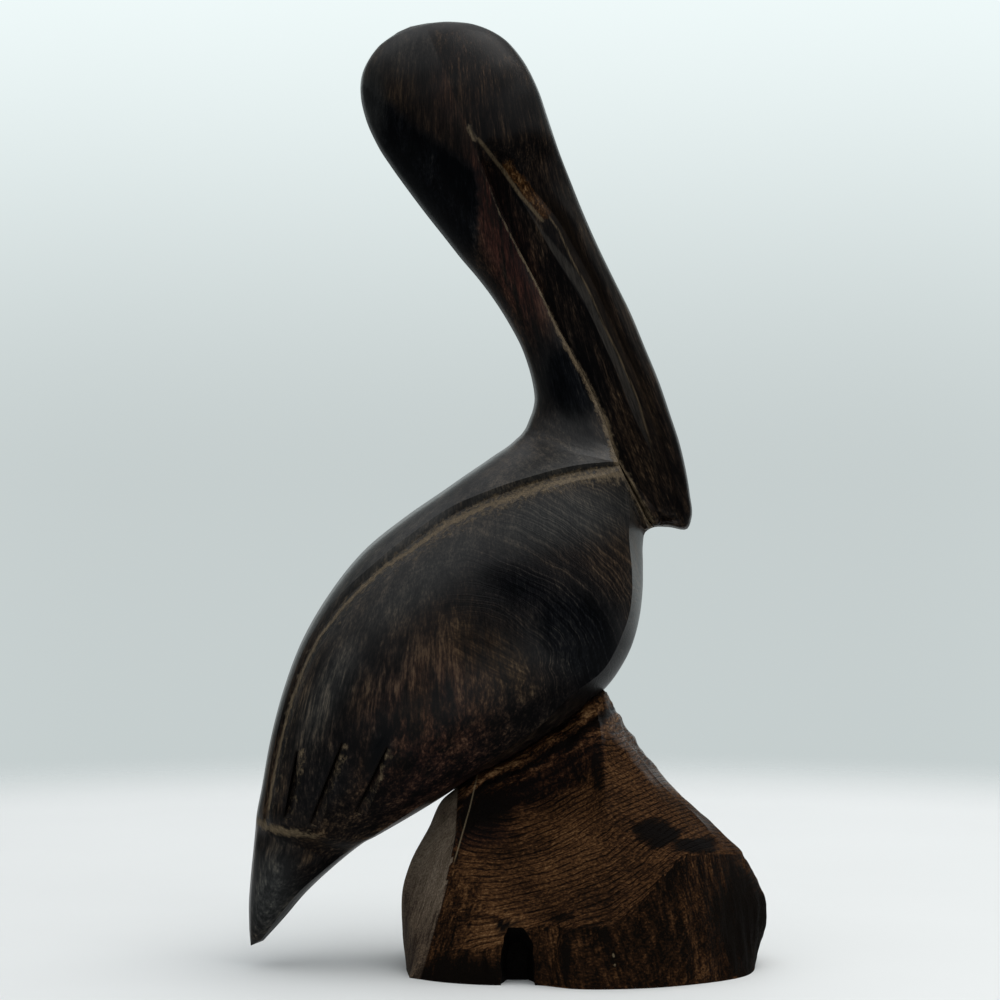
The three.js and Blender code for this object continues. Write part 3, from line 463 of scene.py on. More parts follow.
# Narrow lines in the wood: a stored field, its value on the line and the line's half width.
RIDGES = {
    "culmen_edge": ("culmen", -3.9, 0.5),
    "bill_groove": ("culmen", -1.7, 2.6),
    "tail_step": ("tail_step", -1.2, 2.2),
    "wing_cut": ("wing", 0.8, 1.1),
    "neck_cut": ("neck", 1.2, 0.7),
    # Pale line painted as a highlight on the edge of the narrow strip.
    "strip_highlight": ("strip", 0.1, 0.3),
    "upper_ledge": ("ledge", 0.8, 0.6),
    "lower_ledge": ("ledge", 2.1, 0.6),
    # Painted shade in the dents between the ledges.
    "upper_dent_shade": ("ledge", 0.05, 0.35),
    "lower_dent_shade": ("ledge", 1.45, 0.45),
}

# Colours of the wood from dark to light, as shares of a ramp.
WOOD_STOPS = [
    (0.0, (0.0028, 0.0024, 0.0024)),
    (0.35, (0.010, 0.0072, 0.0058)),
    (0.6, (0.028, 0.0185, 0.012)),
    (1.0, (0.085, 0.056, 0.033)),
]
COOL_STOPS = [
    (0.0, (0.0014, 0.0017, 0.0022)),
    (0.4, (0.0050, 0.0056, 0.0068)),
    (0.7, (0.019, 0.0185, 0.0175)),
    (1.0, (0.060, 0.052, 0.040)),
]
TAN_STOPS = [
    (0.0, (0.005, 0.003, 0.0018)),
    (0.4, (0.021, 0.0125, 0.0065)),
    (0.7, (0.058, 0.036, 0.018)),
    (1.0, (0.14, 0.095, 0.05)),
]
RED_STOPS = [
    (0.0, (0.006, 0.004, 0.0045)),
    (0.35, (0.020, 0.008, 0.0065)),
    (0.6, (0.048, 0.018, 0.013)),
    (1.0, (0.11, 0.05, 0.032)),
]
RASP_AND_HIGHLIGHT_STOPS = [
    (0.2, (0.05, 0.036, 0.022)),
    (0.5, (0.12, 0.09, 0.055)),
    (0.8, (0.24, 0.18, 0.11)),
    (1.0, (0.30, 0.24, 0.15)),
]
PAINTED_SHEEN_STOPS = [
    (0.0, (0.015, 0.0155, 0.0155)),
    (0.35, (0.027, 0.028, 0.0275)),
    (0.65, (0.050, 0.050, 0.046)),
    (1.0, (0.105, 0.098, 0.084)),
]
GOLD_STOPS = [
    (0.2, (0.008, 0.004, 0.002)),
    (0.5, (0.040, 0.018, 0.0065)),
    (0.7, (0.092, 0.050, 0.020)),
    (1.0, (0.20, 0.14, 0.08)),
]
HEWN_STOPS = [
    (0.0, (0.0035, 0.0022, 0.0013)),
    (0.3, (0.020, 0.0088, 0.0038)),
    (0.6, (0.076, 0.035, 0.0135)),
    (1.0, (0.21, 0.118, 0.052)),
]
# Near black, for dark stains and for shade painted in the cuts and in the hollow.
STAIN_AND_SHADE_BLACK = (0.003, 0.0022, 0.0018)
# Grey painted on the bill's two ridges as their sheen.
BILL_SHEEN_GREY = (0.033, 0.030, 0.026)
EDGE_TAN = (0.10, 0.075, 0.045)
# Brown for the bill's groove, partly painted shade.
GROOVE_BROWN_SHADE = (0.010, 0.0065, 0.004)
# Pale for the painted highlight along the strip's edge and for the chips.
STRIP_HIGHLIGHT_AND_CHIPS = (0.30, 0.235, 0.145)
# Greyer wood of the saw cut, painted partly lighter as if lit from the left.
SAWN_AND_LIT_STOPS = [
    (0.0, (0.045, 0.030, 0.021)),
    (0.45, (0.14, 0.110, 0.080)),
    (1.0, (0.30, 0.245, 0.185)),
]


def section_rows():
    """All listed sections as full rows, in the order of the names BACK to IS_BILL."""
    rows = []
    for row in BODY_SECTIONS:
        path, width, groove, turns = row[:6], row[6:8], row[8:11], row[11:]
        whole = math.dist(path[BACK], path[MIDDLE]) + math.dist(path[MIDDLE], path[FRONT])
        rows.append([*path, *width, whole * WHOLE_REACH, *groove, 0, 0, *turns, 0, 0, 0, 0])
    for row in HEAD_SECTIONS:
        rows.append([*row[:9], *HEAD_GROOVE, *row[9:], 1])
    return np.array(rows)


def curve_point(a, b, leave, arrive, length, t):
    """Point of the smooth curve from a to b that leaves and arrives in the given directions."""
    h0, h1 = 2 * t**3 - 3 * t**2 + 1, t**3 - 2 * t**2 + t
    h2, h3 = 3 * t**2 - 2 * t**3, t**3 - t**2
    return h0 * a + h1 * leave * length + h2 * b + h3 * arrive * length


def spread_sections(step):
    """All sections of the bird, with smooth ones put between those that are listed."""
    rows = section_rows()
    pairs = list(zip(rows[:-1], rows[1:]))
    gaps = [max(math.dist(a[BACK], b[BACK]), math.dist(a[FRONT], b[FRONT]), LEAST_GAP) for a, b in pairs]
    plain = [(b - a) / gap for (a, b), gap in zip(pairs, gaps)]
    slopes = [plain[0]]
    for i in range(1, len(rows) - 1):
        share = gaps[i] / (gaps[i - 1] + gaps[i])
        slopes.append(plain[i - 1] * share + plain[i] * (1 - share))
    slopes.append(plain[-1])
    out = []
    for i, gap in enumerate(gaps):
        count = max(1, round(gap / step))
        for k in range(count):
            out.append(curve_point(rows[i], rows[i + 1], slopes[i], slopes[i + 1], gap, k / count))
    out.append(rows[-1])
    return out


def unit(values):
    """Values held between 0 and 1."""
    return np.clip(values, 0, 1)


def round_profile(s, sec):
    top = sec[PEAK] * sec[REACH]
    t = unit(np.where(s < top, 1 - s / top, (s - top) / (sec[REACH] - top)))
    return sec[WIDE] * (1 - t**SECTION_POWER) ** (1 / SECTION_POWER)


def smooth_max(a, b, radius):
    if radius < TINY:
        return np.maximum(a, b)
    h = np.maximum(0, radius - np.abs(a - b)) / radius
    return np.maximum(a, b) + h * h * radius / 4


def body_width(s, sec, s_middle, s_front):
    """Half width of the body along a section, with the wing's groove and the blunt breast."""
    edge = s_middle + (s_front - s_middle) * sec[K2]
    y = round_profile(np.minimum(s, edge), sec)
    power = BREAST_POWER + BREAST_FLATNESS * unit((BREAST_FULL - sec[K2]) / BREAST_RANGE)
    y = np.where(s > edge, y * unit((s_front - s) / (s_front - edge)) ** power, y)
    into = s - s_middle
    down = into / sec[FLOOR]
    up = (sec[RISE] - into) / (sec[RISE] - sec[FLOOR])
    return y - sec[GROOVE] * unit(np.minimum(down, up))


def bill_width(s, sec, s_middle, s_front):
    """Half width of the wedge-shaped bill, with the groove beside its ridge."""
    f = (s - s_middle) / (s_front - s_middle)
    k1, k2 = sec[K1], sec[K2]
    before = sec[BILL_M] * unit(s / s_middle)
    side = np.interp(f, [0, k1, k2], [sec[BILL_M], sec[BILL_1], sec[BILL_2]])
    t = unit((f - k2) / (1 - k2))
    round_end = sec[BILL_2] * np.sqrt(1 - t * t)
    into = unit((f - k1) / (k2 - k1) * 2 - 1)
    groove = CULMEN_GROOVE * np.sin(np.pi * into) ** 2 * unit(sec[WALL])
    return np.where(s <= s_middle, before, np.where(f < k2, side - groove, round_end))


def head_width(s, sec, s_middle, s_front):
    """Half width of neck or head, stepping down over the wall to the bill."""
    wall = unit(sec[WALL])
    s_jaw = s_middle + (s_front - s_middle) * sec[K1]
    kept = unit((WHOLE_WALL - wall) / WHOLE_WALL) * unit((s - s_jaw) / CULMEN_RISE)
    y = round_profile(s, sec) * (1 - wall * unit((s - s_middle) / NECK_WALL) * (1 - kept))
    return smooth_max(y, bill_width(s, sec, s_middle, s_front), max(0, sec[BLEND]))


def half_width(s, sec, s_middle, s_front):
    """Half width of the bird along any section."""
    share = unit(sec[IS_BILL])
    body = body_width(s, sec, s_middle, s_front) if share < 1 else 0
    head = head_width(s, sec, s_middle, s_front) if share > 0 else 0
    fade = unit((s_front - s) / EDGE_FADE) * unit(s / EDGE_FADE)
    return (body * (1 - share) + head * share) * np.sqrt(fade)


def columns(sec, s_middle, s_front):
    """Distances along a section at which the mesh has its corners."""
    s1, s2 = [s_middle + (s_front - s_middle) * sec[k] for k in (K1, K2)]
    room = min(1, (s1 - s_middle) * GROOVE_ROOM / sec[RISE])
    floor, risen = s_middle + sec[FLOOR] * room, s_middle + sec[RISE] * room
    back, *counts, nose = COLUMN_COUNTS
    places = [s_middle, floor, risen, s1, s2]
    spans = zip(places[:-1], places[1:], counts)
    quarter = math.pi / 2
    return np.concatenate([
        s_middle * (1 - np.cos(np.linspace(0, quarter, back, endpoint=False))),
        *[np.linspace(a, b, count, endpoint=False) for a, b, count in spans],
        s2 + (s_front - s2) * np.sin(np.linspace(0, quarter, nose)),
    ])


def section_ring(sec):
    """Closed ring of points round the bird at one section."""
    s_middle = math.dist(sec[BACK], sec[MIDDLE])
    s_front = s_middle + math.dist(sec[MIDDLE], sec[FRONT])
    s = columns(sec, s_middle, s_front)
    ends = zip(sec[BACK], sec[MIDDLE], sec[FRONT])
    x, z = [np.interp(s, [0, s_middle, s_front], places) for places in ends]
    y = half_width(s, sec, s_middle, s_front)
    y[0] = y[-1] = 0
    near = np.column_stack([x, -y, z])
    far = np.column_stack([x, y, z])[-2:0:-1]
    return np.concatenate([near, far])


def close_rings(rings, first, last):
    """Points and faces of the closed surface through rings of equal length."""
    n = len(rings[0])
    points = np.concatenate([[first], *rings, [last]])
    faces = []
    top = 1 + (len(rings) - 1) * n
    for j in range(n):
        k = (j + 1) % n
        faces.append((0, 1 + k, 1 + j))
        faces.append((top + j, top + k, len(points) - 1))
    for low in range(1, top, n):
        high = low + n
        for j in range(n):
            k = (j + 1) % n
            faces.append((low + j, low + k, high + k))
            faces.append((low + j, high + k, high + j))
    corners = points[np.array(faces)]
    volume = np.einsum("ij,ij->i", corners[:, 0], np.cross(corners[:, 1], corners[:, 2])).sum()
    if volume < 0:
        faces = [face[::-1] for face in faces]
    return points, faces


def add_object(name, data):
    obj = bpy.data.objects.new(name, data)
    bpy.context.collection.objects.link(obj)
    return obj


def mesh_object(name, points, faces, materials, slot=0):
    mesh = bpy.data.meshes.new(name)
    mesh.from_pydata([tuple(p) for p in points], [], faces)
    for material in materials:
        mesh.materials.append(material)
    mesh.polygons.foreach_set("material_index", [slot] * len(faces))
    return add_object(name, mesh)


def combine(obj, other, how):
    """Joins the other solid to obj or cuts it away, and drops the other object."""
    step = obj.modifiers.new("solid", "BOOLEAN")
    step.operation = how
    step.solver = "MANIFOLD"
    step.object = other
    graph = bpy.context.evaluated_depsgraph_get()
    made = bpy.data.meshes.new_from_object(obj.evaluated_get(graph))
    obj.modifiers.clear()
    obj.data = made
    bpy.data.objects.remove(other)


def tangents(points, sharp, closed):
    """Directions before and after each point of a run, and its lengths. Sharp points keep both."""
    chords = np.roll(points, -1, axis=0) - points
    lengths = np.maximum(np.linalg.norm(chords, axis=1), TINY)
    after = chords / lengths[:, None]
    before = np.roll(after, 1, axis=0)
    share = (lengths / (lengths + np.roll(lengths, 1)))[:, None]
    smooth = before * share + after * (1 - share)
    keep = np.array(sharp, dtype=float)[:, None]
    arriving = before * keep + smooth * (1 - keep)
    leaving = after * keep + smooth * (1 - keep)
    if not closed:
        leaving[0], arriving[-1] = after[0], before[-1]
    return arriving, leaving, lengths


def foot_grid():
    """Rings of the foot: smooth hewn surfaces between the sharp edges that the axe left."""
    rings = np.array(FOOT_RINGS, dtype=float)
    levels, corners = rings.shape[:2]
    counts = []
    columns_up = []
    for j in range(corners):
        widest = max(math.dist(ring[j], ring[(j + 1) % corners]) for ring in rings)
        counts.append(max(2, round(widest / FOOT_STEP)))
        sharp = [float(level == EDGE_RING and j in EDGE_RING_CORNERS) for level in range(levels)]
        columns_up.append(tangents(rings[:, j], sharp, False))
    out = []
    for r in range(levels - 1):
        tallest = max(math.dist(a, b) for a, b in zip(rings[r], rings[r + 1]))
        rows = max(3, round(tallest / FOOT_STEP))
        last = 1 if r == levels - 2 else 0
        for row in range(rows + last):
            t = row / rows
            here = np.array([
                curve_point(rings[r][j], rings[r + 1][j], leaving[r], arriving[r + 1], lengths[r], t)
                for j, (arriving, leaving, lengths) in enumerate(columns_up)
            ])
            edges = [CORNER_EDGES.get(j, [0] * levels) for j in range(corners)]
            sharp = [np.interp(r + t, range(levels), edge) for edge in edges]
            out.append(foot_row(here, sharp, counts))
    return out


def foot_row(here, sharp, counts):
    """One ring of the foot, with the points between its corners filled in."""
    arriving, leaving, lengths = tangents(here, sharp, True)
    row = []
    for j, count in enumerate(counts):
        k = (j + 1) % len(here)
        for i in range(count):
            row.append(curve_point(here[j], here[k], leaving[j], arriving[k], lengths[j], i / count))
    return np.array(row)


def uneven(point, kind):
    """Smooth noise of one kind from the table of waves, in mm."""
    total = 0
    for height, size, stretch, seed in WAVES[kind]:
        at = Vector([place * share for place, share in zip(point, stretch)]) / size
        total += height * noise.noise(at + Vector([seed * share for share in SEED_WAY]))
    return total


def point_normals(points, faces):
    faces = np.array(faces)
    corners = points[faces]
    flat = np.cross(corners[:, 1] - corners[:, 0], corners[:, 2] - corners[:, 0])
    normals = np.zeros_like(points)
    for c in range(3):
        np.add.at(normals, faces[:, c], flat)
    return normals / np.maximum(np.linalg.norm(normals, axis=1), TINY)[:, None]


def line_place(points, line):
    """Signed distance of x, z points to a line (left of its way is positive) and share of its length.

    The line runs on straight beyond both ends, where the share is below 0 or above 1.
    """
    line = np.array(line, dtype=float)
    steps = np.diff(line, axis=0)
    lengths = np.hypot(*steps.T)
    run = np.concatenate([[0], np.cumsum(lengths)]) / lengths.sum()
    best = np.full(len(points), FAR)
    side = np.zeros(len(points))
    share = np.zeros(len(points))
    for i, (a, step, length) in enumerate(zip(line[:-1], steps, lengths)):
        off = points - a
        start, end = -FAR if i == 0 else 0, FAR if i == len(steps) - 1 else 1
        held = np.clip(off @ step / length**2, start, end)
        away = np.linalg.norm(off - held[:, None] * step, axis=1)
        near = away < best
        best = np.where(near, away, best)
        side = np.where(near, np.sign(step[0] * off[:, 1] - step[1] * off[:, 0]), side)
        share = np.where(near, run[i] + held * (run[i + 1] - run[i]), share)
    return best * np.where(side == 0, 1, side), share


def cut_distance(points, cuts, shift):
    """Unsigned distance to the nearest of several short cuts, moved sideways by shift."""
    best = np.full(len(points), FAR)
    for top, bottom in np.array(cuts, dtype=float):
        step = bottom - top
        across = np.array([-step[1], step[0]]) / np.hypot(*step)
        off = points - top - across * shift
        t = unit(off @ step / (step @ step))
        best = np.minimum(best, np.linalg.norm(off - t[:, None] * step, axis=1))
    return best


def smooth_step(v, low, high):
    """0 up to low, 1 from high on and smooth between them. High may be the lower number."""
    t = unit((v - low) / (high - low))
    return t * t * (3 - 2 * t)


def ledge_place(points):
    """Distance below the belly line as a share of the ledges' width, with the wavering of the chisel."""
    below, run = line_place(points[:, [0, 2]], BELLY_LINE)
    widths = LEDGE_WIDTHS[0] + (LEDGE_WIDTHS[1] - LEDGE_WIDTHS[0]) * unit(run)
    return -below / widths + np.array([uneven(p, "ledge_line") for p in points])


def hew_foot(points, faces):
    """Chips, split fibres and the cut ledges under the belly, as offsets along the facets' normals."""
    normals = point_normals(points, faces)
    x, y, z = points.T
    t = ledge_place(points)
    ledge = sum(height * np.exp(-(((t - at) / wide) ** 2)) for height, at, wide in LEDGES)
    ledge *= smooth_step(x, *LEDGE_START) * smooth_step(x, *LEDGE_END) * (y < 0)
    torn = smooth_step(t, *TORN_BELOW) * smooth_step(x, *TORN_RIGHT)
    upright = np.maximum(0, 1 - abs(normals[:, 2]) * UPRIGHT_SLOPE) * smooth_step(z, *SPLIT_BELOW)
    ragged = smooth_step(x, *RAGGED_RIGHT)
    crest = smooth_step(x, *CREST_RIGHT) * smooth_step(z, *CREST_ABOVE)
    rough = np.minimum(1, z / GROUND_FADE) * (1 - SAWN_SMOOTH * smooth_step(normals[:, 0], *SAWN_FACING))
    moved = points.copy()
    for i, (p, n) in enumerate(zip(points, normals)):
        if p[2] < ON_GROUND:
            continue
        offset = uneven(p, "split") * upright[i] + uneven(p, "chips") + uneven(p, "torn") * torn[i]
        offset += uneven(p, "crest") * crest[i] + ledge[i] * (LEDGE_MEAN + uneven(p, "ledge"))
        offset -= max(0, uneven(p, "ragged")) * ragged[i]
        moved[i] = p + n * rough[i] * offset
    return np.clip(moved, FOOT_BOX[0], FOOT_BOX[1])


def carve_bird(points):
    """Slight unevenness of hand work on the polished sides."""
    moved = points.copy()
    for i, p in enumerate(points):
        moved[i][1] = p[1] * (1 + uneven(p, "bird") / max(CALM_EDGE, abs(p[1])))
    return moved


def near_side(x, z, tree):
    """Where the near side of the bird lies at a place of the side view."""
    hit = tree.ray_cast(Vector((x, OUTSIDE, z)), Vector((0, 1, 0)))[0]
    return hit.y if hit else 0


def slit_cutter(slit, tree, side):
    """Wedge that cuts one feather slit: steep on its back side, sloping towards the breast."""
    top, bottom = np.array(slit)
    along = bottom - top
    across = np.array([-along[1], along[0]]) / np.hypot(*along)
    rings = []
    for t, deep, wide in SLIT_PROFILE:
        at = top + along * t
        ax, az = at - across * SLIT_LIP
        bx, bz = at + across * SLIT_LIP
        cx, cz = at + across * wide * SLIT_WIDTH
        yb, yc = near_side(bx, bz, tree), near_side(cx, cz, tree)
        rings.append(np.array([
            (ax, side * (yb - CUTTER_OUT), az),
            (bx, side * (yb + deep * SLIT_DEPTH), bz),
            (cx, side * yc, cz),
            (cx, side * (yc - CUTTER_OUT), cz),
        ]))
    return close_rings(rings, rings[0].mean(axis=0), rings[-1].mean(axis=0))


def hollow_cutter():
    """Ragged arch that cuts the hollow into the front of the foot and narrows inwards."""
    cx, cz = HOLLOW_CENTRE
    closed = np.array([*HOLLOW_ARCH, HOLLOW_ARCH[0]])
    fine = np.arange(0, len(HOLLOW_ARCH), 1 / HOLLOW_PARTS)
    arch = np.column_stack([np.interp(fine, range(len(closed)), closed[:, c]) for c in (0, 1)])
    rings = []
    for y, share in HOLLOW_DEPTHS:
        ring = [(cx + (x - cx) * share, y, z * share) for x, z in arch]
        rings.append(np.array([
            (p[0] + uneven(p, "arch_sideways"), y, p[2] + uneven(p, "arch_upwards")) for p in ring
        ]))
    return close_rings(rings, (cx, HOLLOW_DEPTHS[0][0], cz), (cx, HOLLOW_DEPTHS[-1][0], cz))


def hollow_shade(points):
    """1 inside the hollow of the foot and 0 outside it, where the hollow is painted black as shade."""
    side = points[:, [0, 2]]
    low, high = np.min(HOLLOW_ARCH, axis=0) - HOLLOW_SHADE_REACH, np.max(HOLLOW_ARCH, axis=0) + HOLLOW_SHADE_REACH
    inside = (side > low).all(axis=1) & (side < high).all(axis=1)
    return inside * smooth_step(points[:, 1], *HOLLOW_SHADE_FROM) * (points[:, 1] < HOLLOW_DEPTHS[-1][0] + 1)


def patch_field(points, patches):
    """Strength of soft oval patches at x, z points."""
    total = np.zeros(len(points))
    for x, z, long, wide, turn, strength in patches:
        a = math.radians(turn)
        off = points - (x, z)
        u = (off[:, 0] * math.cos(a) + off[:, 1] * math.sin(a)) / long
        v = (off[:, 1] * math.cos(a) - off[:, 0] * math.sin(a)) / wide
        total = np.maximum(total, strength * np.exp(-(u * u + v * v) ** PATCH_POWER))
    return total


def head_dark(points, side):
    """1 on the sharply bounded dark side of the head."""
    places = (-line_place(side, HEAD_LINE)[0], HEAD_GRAIN_X - points[:, 0], points[:, 2])
    ragged = np.array([uneven(p, "head_edge") for p in points])
    share = 1
    for place, (wander, low, high) in zip(places, HEAD_EDGES):
        share = share * smooth_step(place + wander * ragged, low, high)
    return share


def store(mesh, name, values):
    """Keeps one number or one triple for each point of the mesh."""
    values = np.asarray(values, dtype=np.float32)
    kind, field = ("FLOAT", "value") if values.ndim == 1 else ("FLOAT_VECTOR", "vector")
    mesh.attributes.new(name, kind, "POINT").data.foreach_set(field, values.ravel())


def mesh_points(mesh):
    flat = np.zeros(len(mesh.vertices) * 3)
    mesh.vertices.foreach_get("co", flat)
    return flat.reshape(-1, 3)


def mark_grain(mesh, points, side):
    """Stores where each point lies among the fibres and the growth rings."""
    x, y, z = points.T
    across = (x - FAN_CENTRE_X) * np.exp(FAN_RATE * (z - FAN_HEIGHT))
    store(mesh, "grain", np.column_stack([across, y, z]))
    ring = np.hypot(x - PITH[0], y - PITH[1]) + RING_LEAN * z
    ring += RING_CLIMB * np.clip(x, 0, CREASE_X) ** 2 / (2 * CREASE_X)
    store(mesh, "ring", ring + RING_TURN * np.maximum(0, x - CREASE_X))
    off = side - SWIRL_CENTRE
    swirl = np.hypot(*off.T)
    store(mesh, "swirl", swirl)
    below_crest = smooth_step(-line_place(side, LINES["wing"])[0], *SWIRL_CREST)
    share = smooth_step(off @ SWIRL_WAY / np.maximum(swirl, 1), *SWIRL_UPWARDS) * below_crest
    share *= smooth_step(swirl, *SWIRL_AWAY) * smooth_step(off @ SWIRL_RIGHT, *SWIRL_SIDE)
    store(mesh, "swirl_share", share)


def tone_patches(points, side):
    """Strengths of the dark, red and tan patches. Right of the foot's crease the dark and red ones fade,
    leaving painted shade left of it. The far side is plainer.
    """
    x, y, z = points.T
    patches = [patch_field(side, kind) for kind in (DARK_PATCHES, RED_PATCHES, TAN_PATCHES)]
    patches[0] = np.maximum(patches[0], HEAD_DARKNESS * head_dark(points, side))
    beyond = smooth_step(x, CREASE_X - CREASE_SOFT, CREASE_X + CREASE_SOFT) * (z < CREASE_TOP)
    beyond *= smooth_step(z, *CREASE_LOW)
    patches[:2] = [field * (1 - CREASE_SHADE_FADE * beyond) for field in patches[:2]]
    plainer = FAR_BIRD + (FAR_FOOT - FAR_BIRD) * smooth_step(z, *FAR_CHANGE)
    return np.column_stack([field * (1 - plainer * smooth_step(y, *FAR_SIDE)) for field in patches])


def mark_wood(mesh, foot_tree):
    """Stores on each point where it lies in the log and among the carved lines, for the materials."""
    points = mesh_points(mesh)
    side = points[:, [0, 2]]
    mark_grain(mesh, points, side)
    for name, line in LINES.items():
        away, run = line_place(side, line)
        store(mesh, name, np.where(points[:, 1] < 0, away, NOWHERE) if name in NEAR_LINES else away)
        if name in RUN_LINES:
            store(mesh, name + "_run", run)
    for name, (cuts, shift) in CUTS.items():
        store(mesh, name, cut_distance(side, cuts, shift))
    store(mesh, "ledge", ledge_place(points))
    store(mesh, "hollow_shade", hollow_shade(points))
    store(mesh, "height", points[:, 2])
    store(mesh, "painted_sheen", patch_field(side, PAINTED_SHEEN_PATCHES))
    store(mesh, "tone", tone_patches(points, side))
    store(mesh, "facet", [tuple(foot_tree.find_nearest(Vector(p))[1]) for p in points])


def sharpen(mesh):
    """Marks edges that bend by more than their wood's limit as sharp and shades the rest smooth."""
    shape = bmesh.new()
    shape.from_mesh(mesh)
    for face in shape.faces:
        face.smooth = True
    for edge in shape.edges:
        faces = edge.link_faces
        hewn = len(faces) == 2 and faces[0].material_index == faces[1].material_index == HEWN
        limit = HEWN_SHARP if hewn else POLISHED_SHARP
        edge.smooth = edge.calc_face_angle(0) < math.radians(limit)
    shape.to_mesh(mesh)
    shape.free()


def carving(materials):
    """The whole statue as one mesh in mm, in the carver's frame."""
    rings = [section_ring(sec) for sec in spread_sections(STATION_STEP)]
    bird_points, bird_faces = close_rings(rings, TAIL_TIP, CROWN)
    bird_points = carve_bird(bird_points)
    tree = BVHTree.FromPolygons([tuple(p) for p in bird_points], bird_faces)
    obj = mesh_object(PIECE, bird_points, bird_faces, materials, POLISHED)

    foot_points, foot_faces = close_rings(foot_grid(), FOOT_MIDDLE, FOOT_TOP)
    foot_tree = BVHTree.FromPolygons([tuple(p) for p in foot_points], foot_faces)
    foot = mesh_object("foot", hew_foot(foot_points, foot_faces), foot_faces, materials, HEWN)
    combine(foot, mesh_object("hollow", *hollow_cutter(), materials, HEWN), "DIFFERENCE")
    combine(obj, foot, "UNION")
    for slit in SLITS:
        for side in (1, -1):
            cutter = slit_cutter(slit, tree, side)
            combine(obj, mesh_object("slit", *cutter, materials, POLISHED), "DIFFERENCE")
    mark_wood(obj.data, foot_tree)
    sharpen(obj.data)
    return obj


def place(obj):
    """Scales the carving to metres and moves it into the box of its CAD node."""
    low, high = [np.array(corner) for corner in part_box(NODE)]
    points = mesh_points(obj.data) * MM
    points[:, :2] += (low + high)[:2] / 2 - CARVER_CENTRE * MM
    obj.data.vertices.foreach_set("co", points.ravel())
    obj.data.update()


class Value:
    """Output of a node. Sums and products of such values read like plain arithmetic."""

    def __init__(self, nodes, socket):
        self.nodes = nodes
        self.socket = socket

    def __add__(self, other):
        return self.nodes.math("ADD", self, other)

    def __sub__(self, other):
        return self.nodes.math("SUBTRACT", self, other)

    def __rsub__(self, other):
        return self.nodes.math("SUBTRACT", other, self)

    def __mul__(self, other):
        return self.nodes.math("MULTIPLY", self, other)

    def __abs__(self):
        return self.nodes.math("ABSOLUTE", self)

    def around(self, amount):
        """Noise shifted to lie around nought, times amount."""
        return (self - 0.5) * amount

    def most(self, *others):
        largest = self
        for other in others:
            largest = self.nodes.math("MAXIMUM", largest, other)
        return largest

    def step(self, low, high, to_low=0.0, to_high=1.0):
        """Smooth change from to_low to to_high as the value goes from low to high."""
        inputs = (self, low, high, to_low, to_high)
        return self.nodes.value("ShaderNodeMapRange", inputs, interpolation_type="SMOOTHSTEP")

    def ridge(self, centre, width):
        """1 on a line at that value, 0 beyond the width on both sides."""
        return abs(self - centre).step(0.0, width, 1.0, 0.0)


class Nodes:
    """Short way to write a node tree."""

    def __init__(self, tree):
        self.tree = tree
        self.tree.nodes.clear()

    def put(self, socket, value):
        if isinstance(value, Value):
            self.tree.links.new(value.socket, socket)
        elif socket.type == "RGBA":
            socket.default_value = (*value, 1)
        else:
            socket.default_value = value

    def node(self, kind, inputs=(), **settings):
        """New node. Its inputs are given in order, or by name or number in a dict."""
        made = self.tree.nodes.new(kind)
        for key, value in settings.items():
            setattr(made, key, value)
        for key, value in inputs.items() if isinstance(inputs, dict) else enumerate(inputs):
            self.put(made.inputs[key], value)
        return made

    def value(self, kind, inputs=(), output=0, **settings):
        return Value(self, self.node(kind, inputs, **settings).outputs[output])

    def math(self, how, *numbers):
        return self.value("ShaderNodeMath", numbers, operation=how)

    def attribute(self, name, output="Fac"):
        return self.value("ShaderNodeAttribute", (), output, attribute_name=name)

    def parts(self, vector):
        return [Value(self, socket) for socket in self.node("ShaderNodeSeparateXYZ", (vector,)).outputs]

    def joined(self, *numbers):
        return self.value("ShaderNodeCombineXYZ", numbers)

    def noise(self, vector, scale, detail, rough=0.5):
        inputs = {"Vector": vector, "Scale": scale, "Detail": detail, "Roughness": rough}
        return self.value("ShaderNodeTexNoise", inputs, noise_dimensions="3D")

    def bands(self, value, scale, detail, rough=0.5):
        """Irregular bands along one number."""
        inputs = {"W": value, "Scale": scale, "Detail": detail, "Roughness": rough}
        return self.value("ShaderNodeTexNoise", inputs, noise_dimensions="1D")

    def mix(self, share, a, b):
        return self.value("ShaderNodeMix", {0: share, 6: a, 7: b}, 2, data_type="RGBA")

    def ramp(self, value, stops):
        made = self.node("ShaderNodeValToRGB", (value,))
        elements = made.color_ramp.elements
        while len(elements) < len(stops):
            elements.new(0.5)
        for element, (place, colour) in zip(elements, stops):
            element.position = place
            element.color = (*colour, 1)
        return Value(self, made.outputs["Color"])


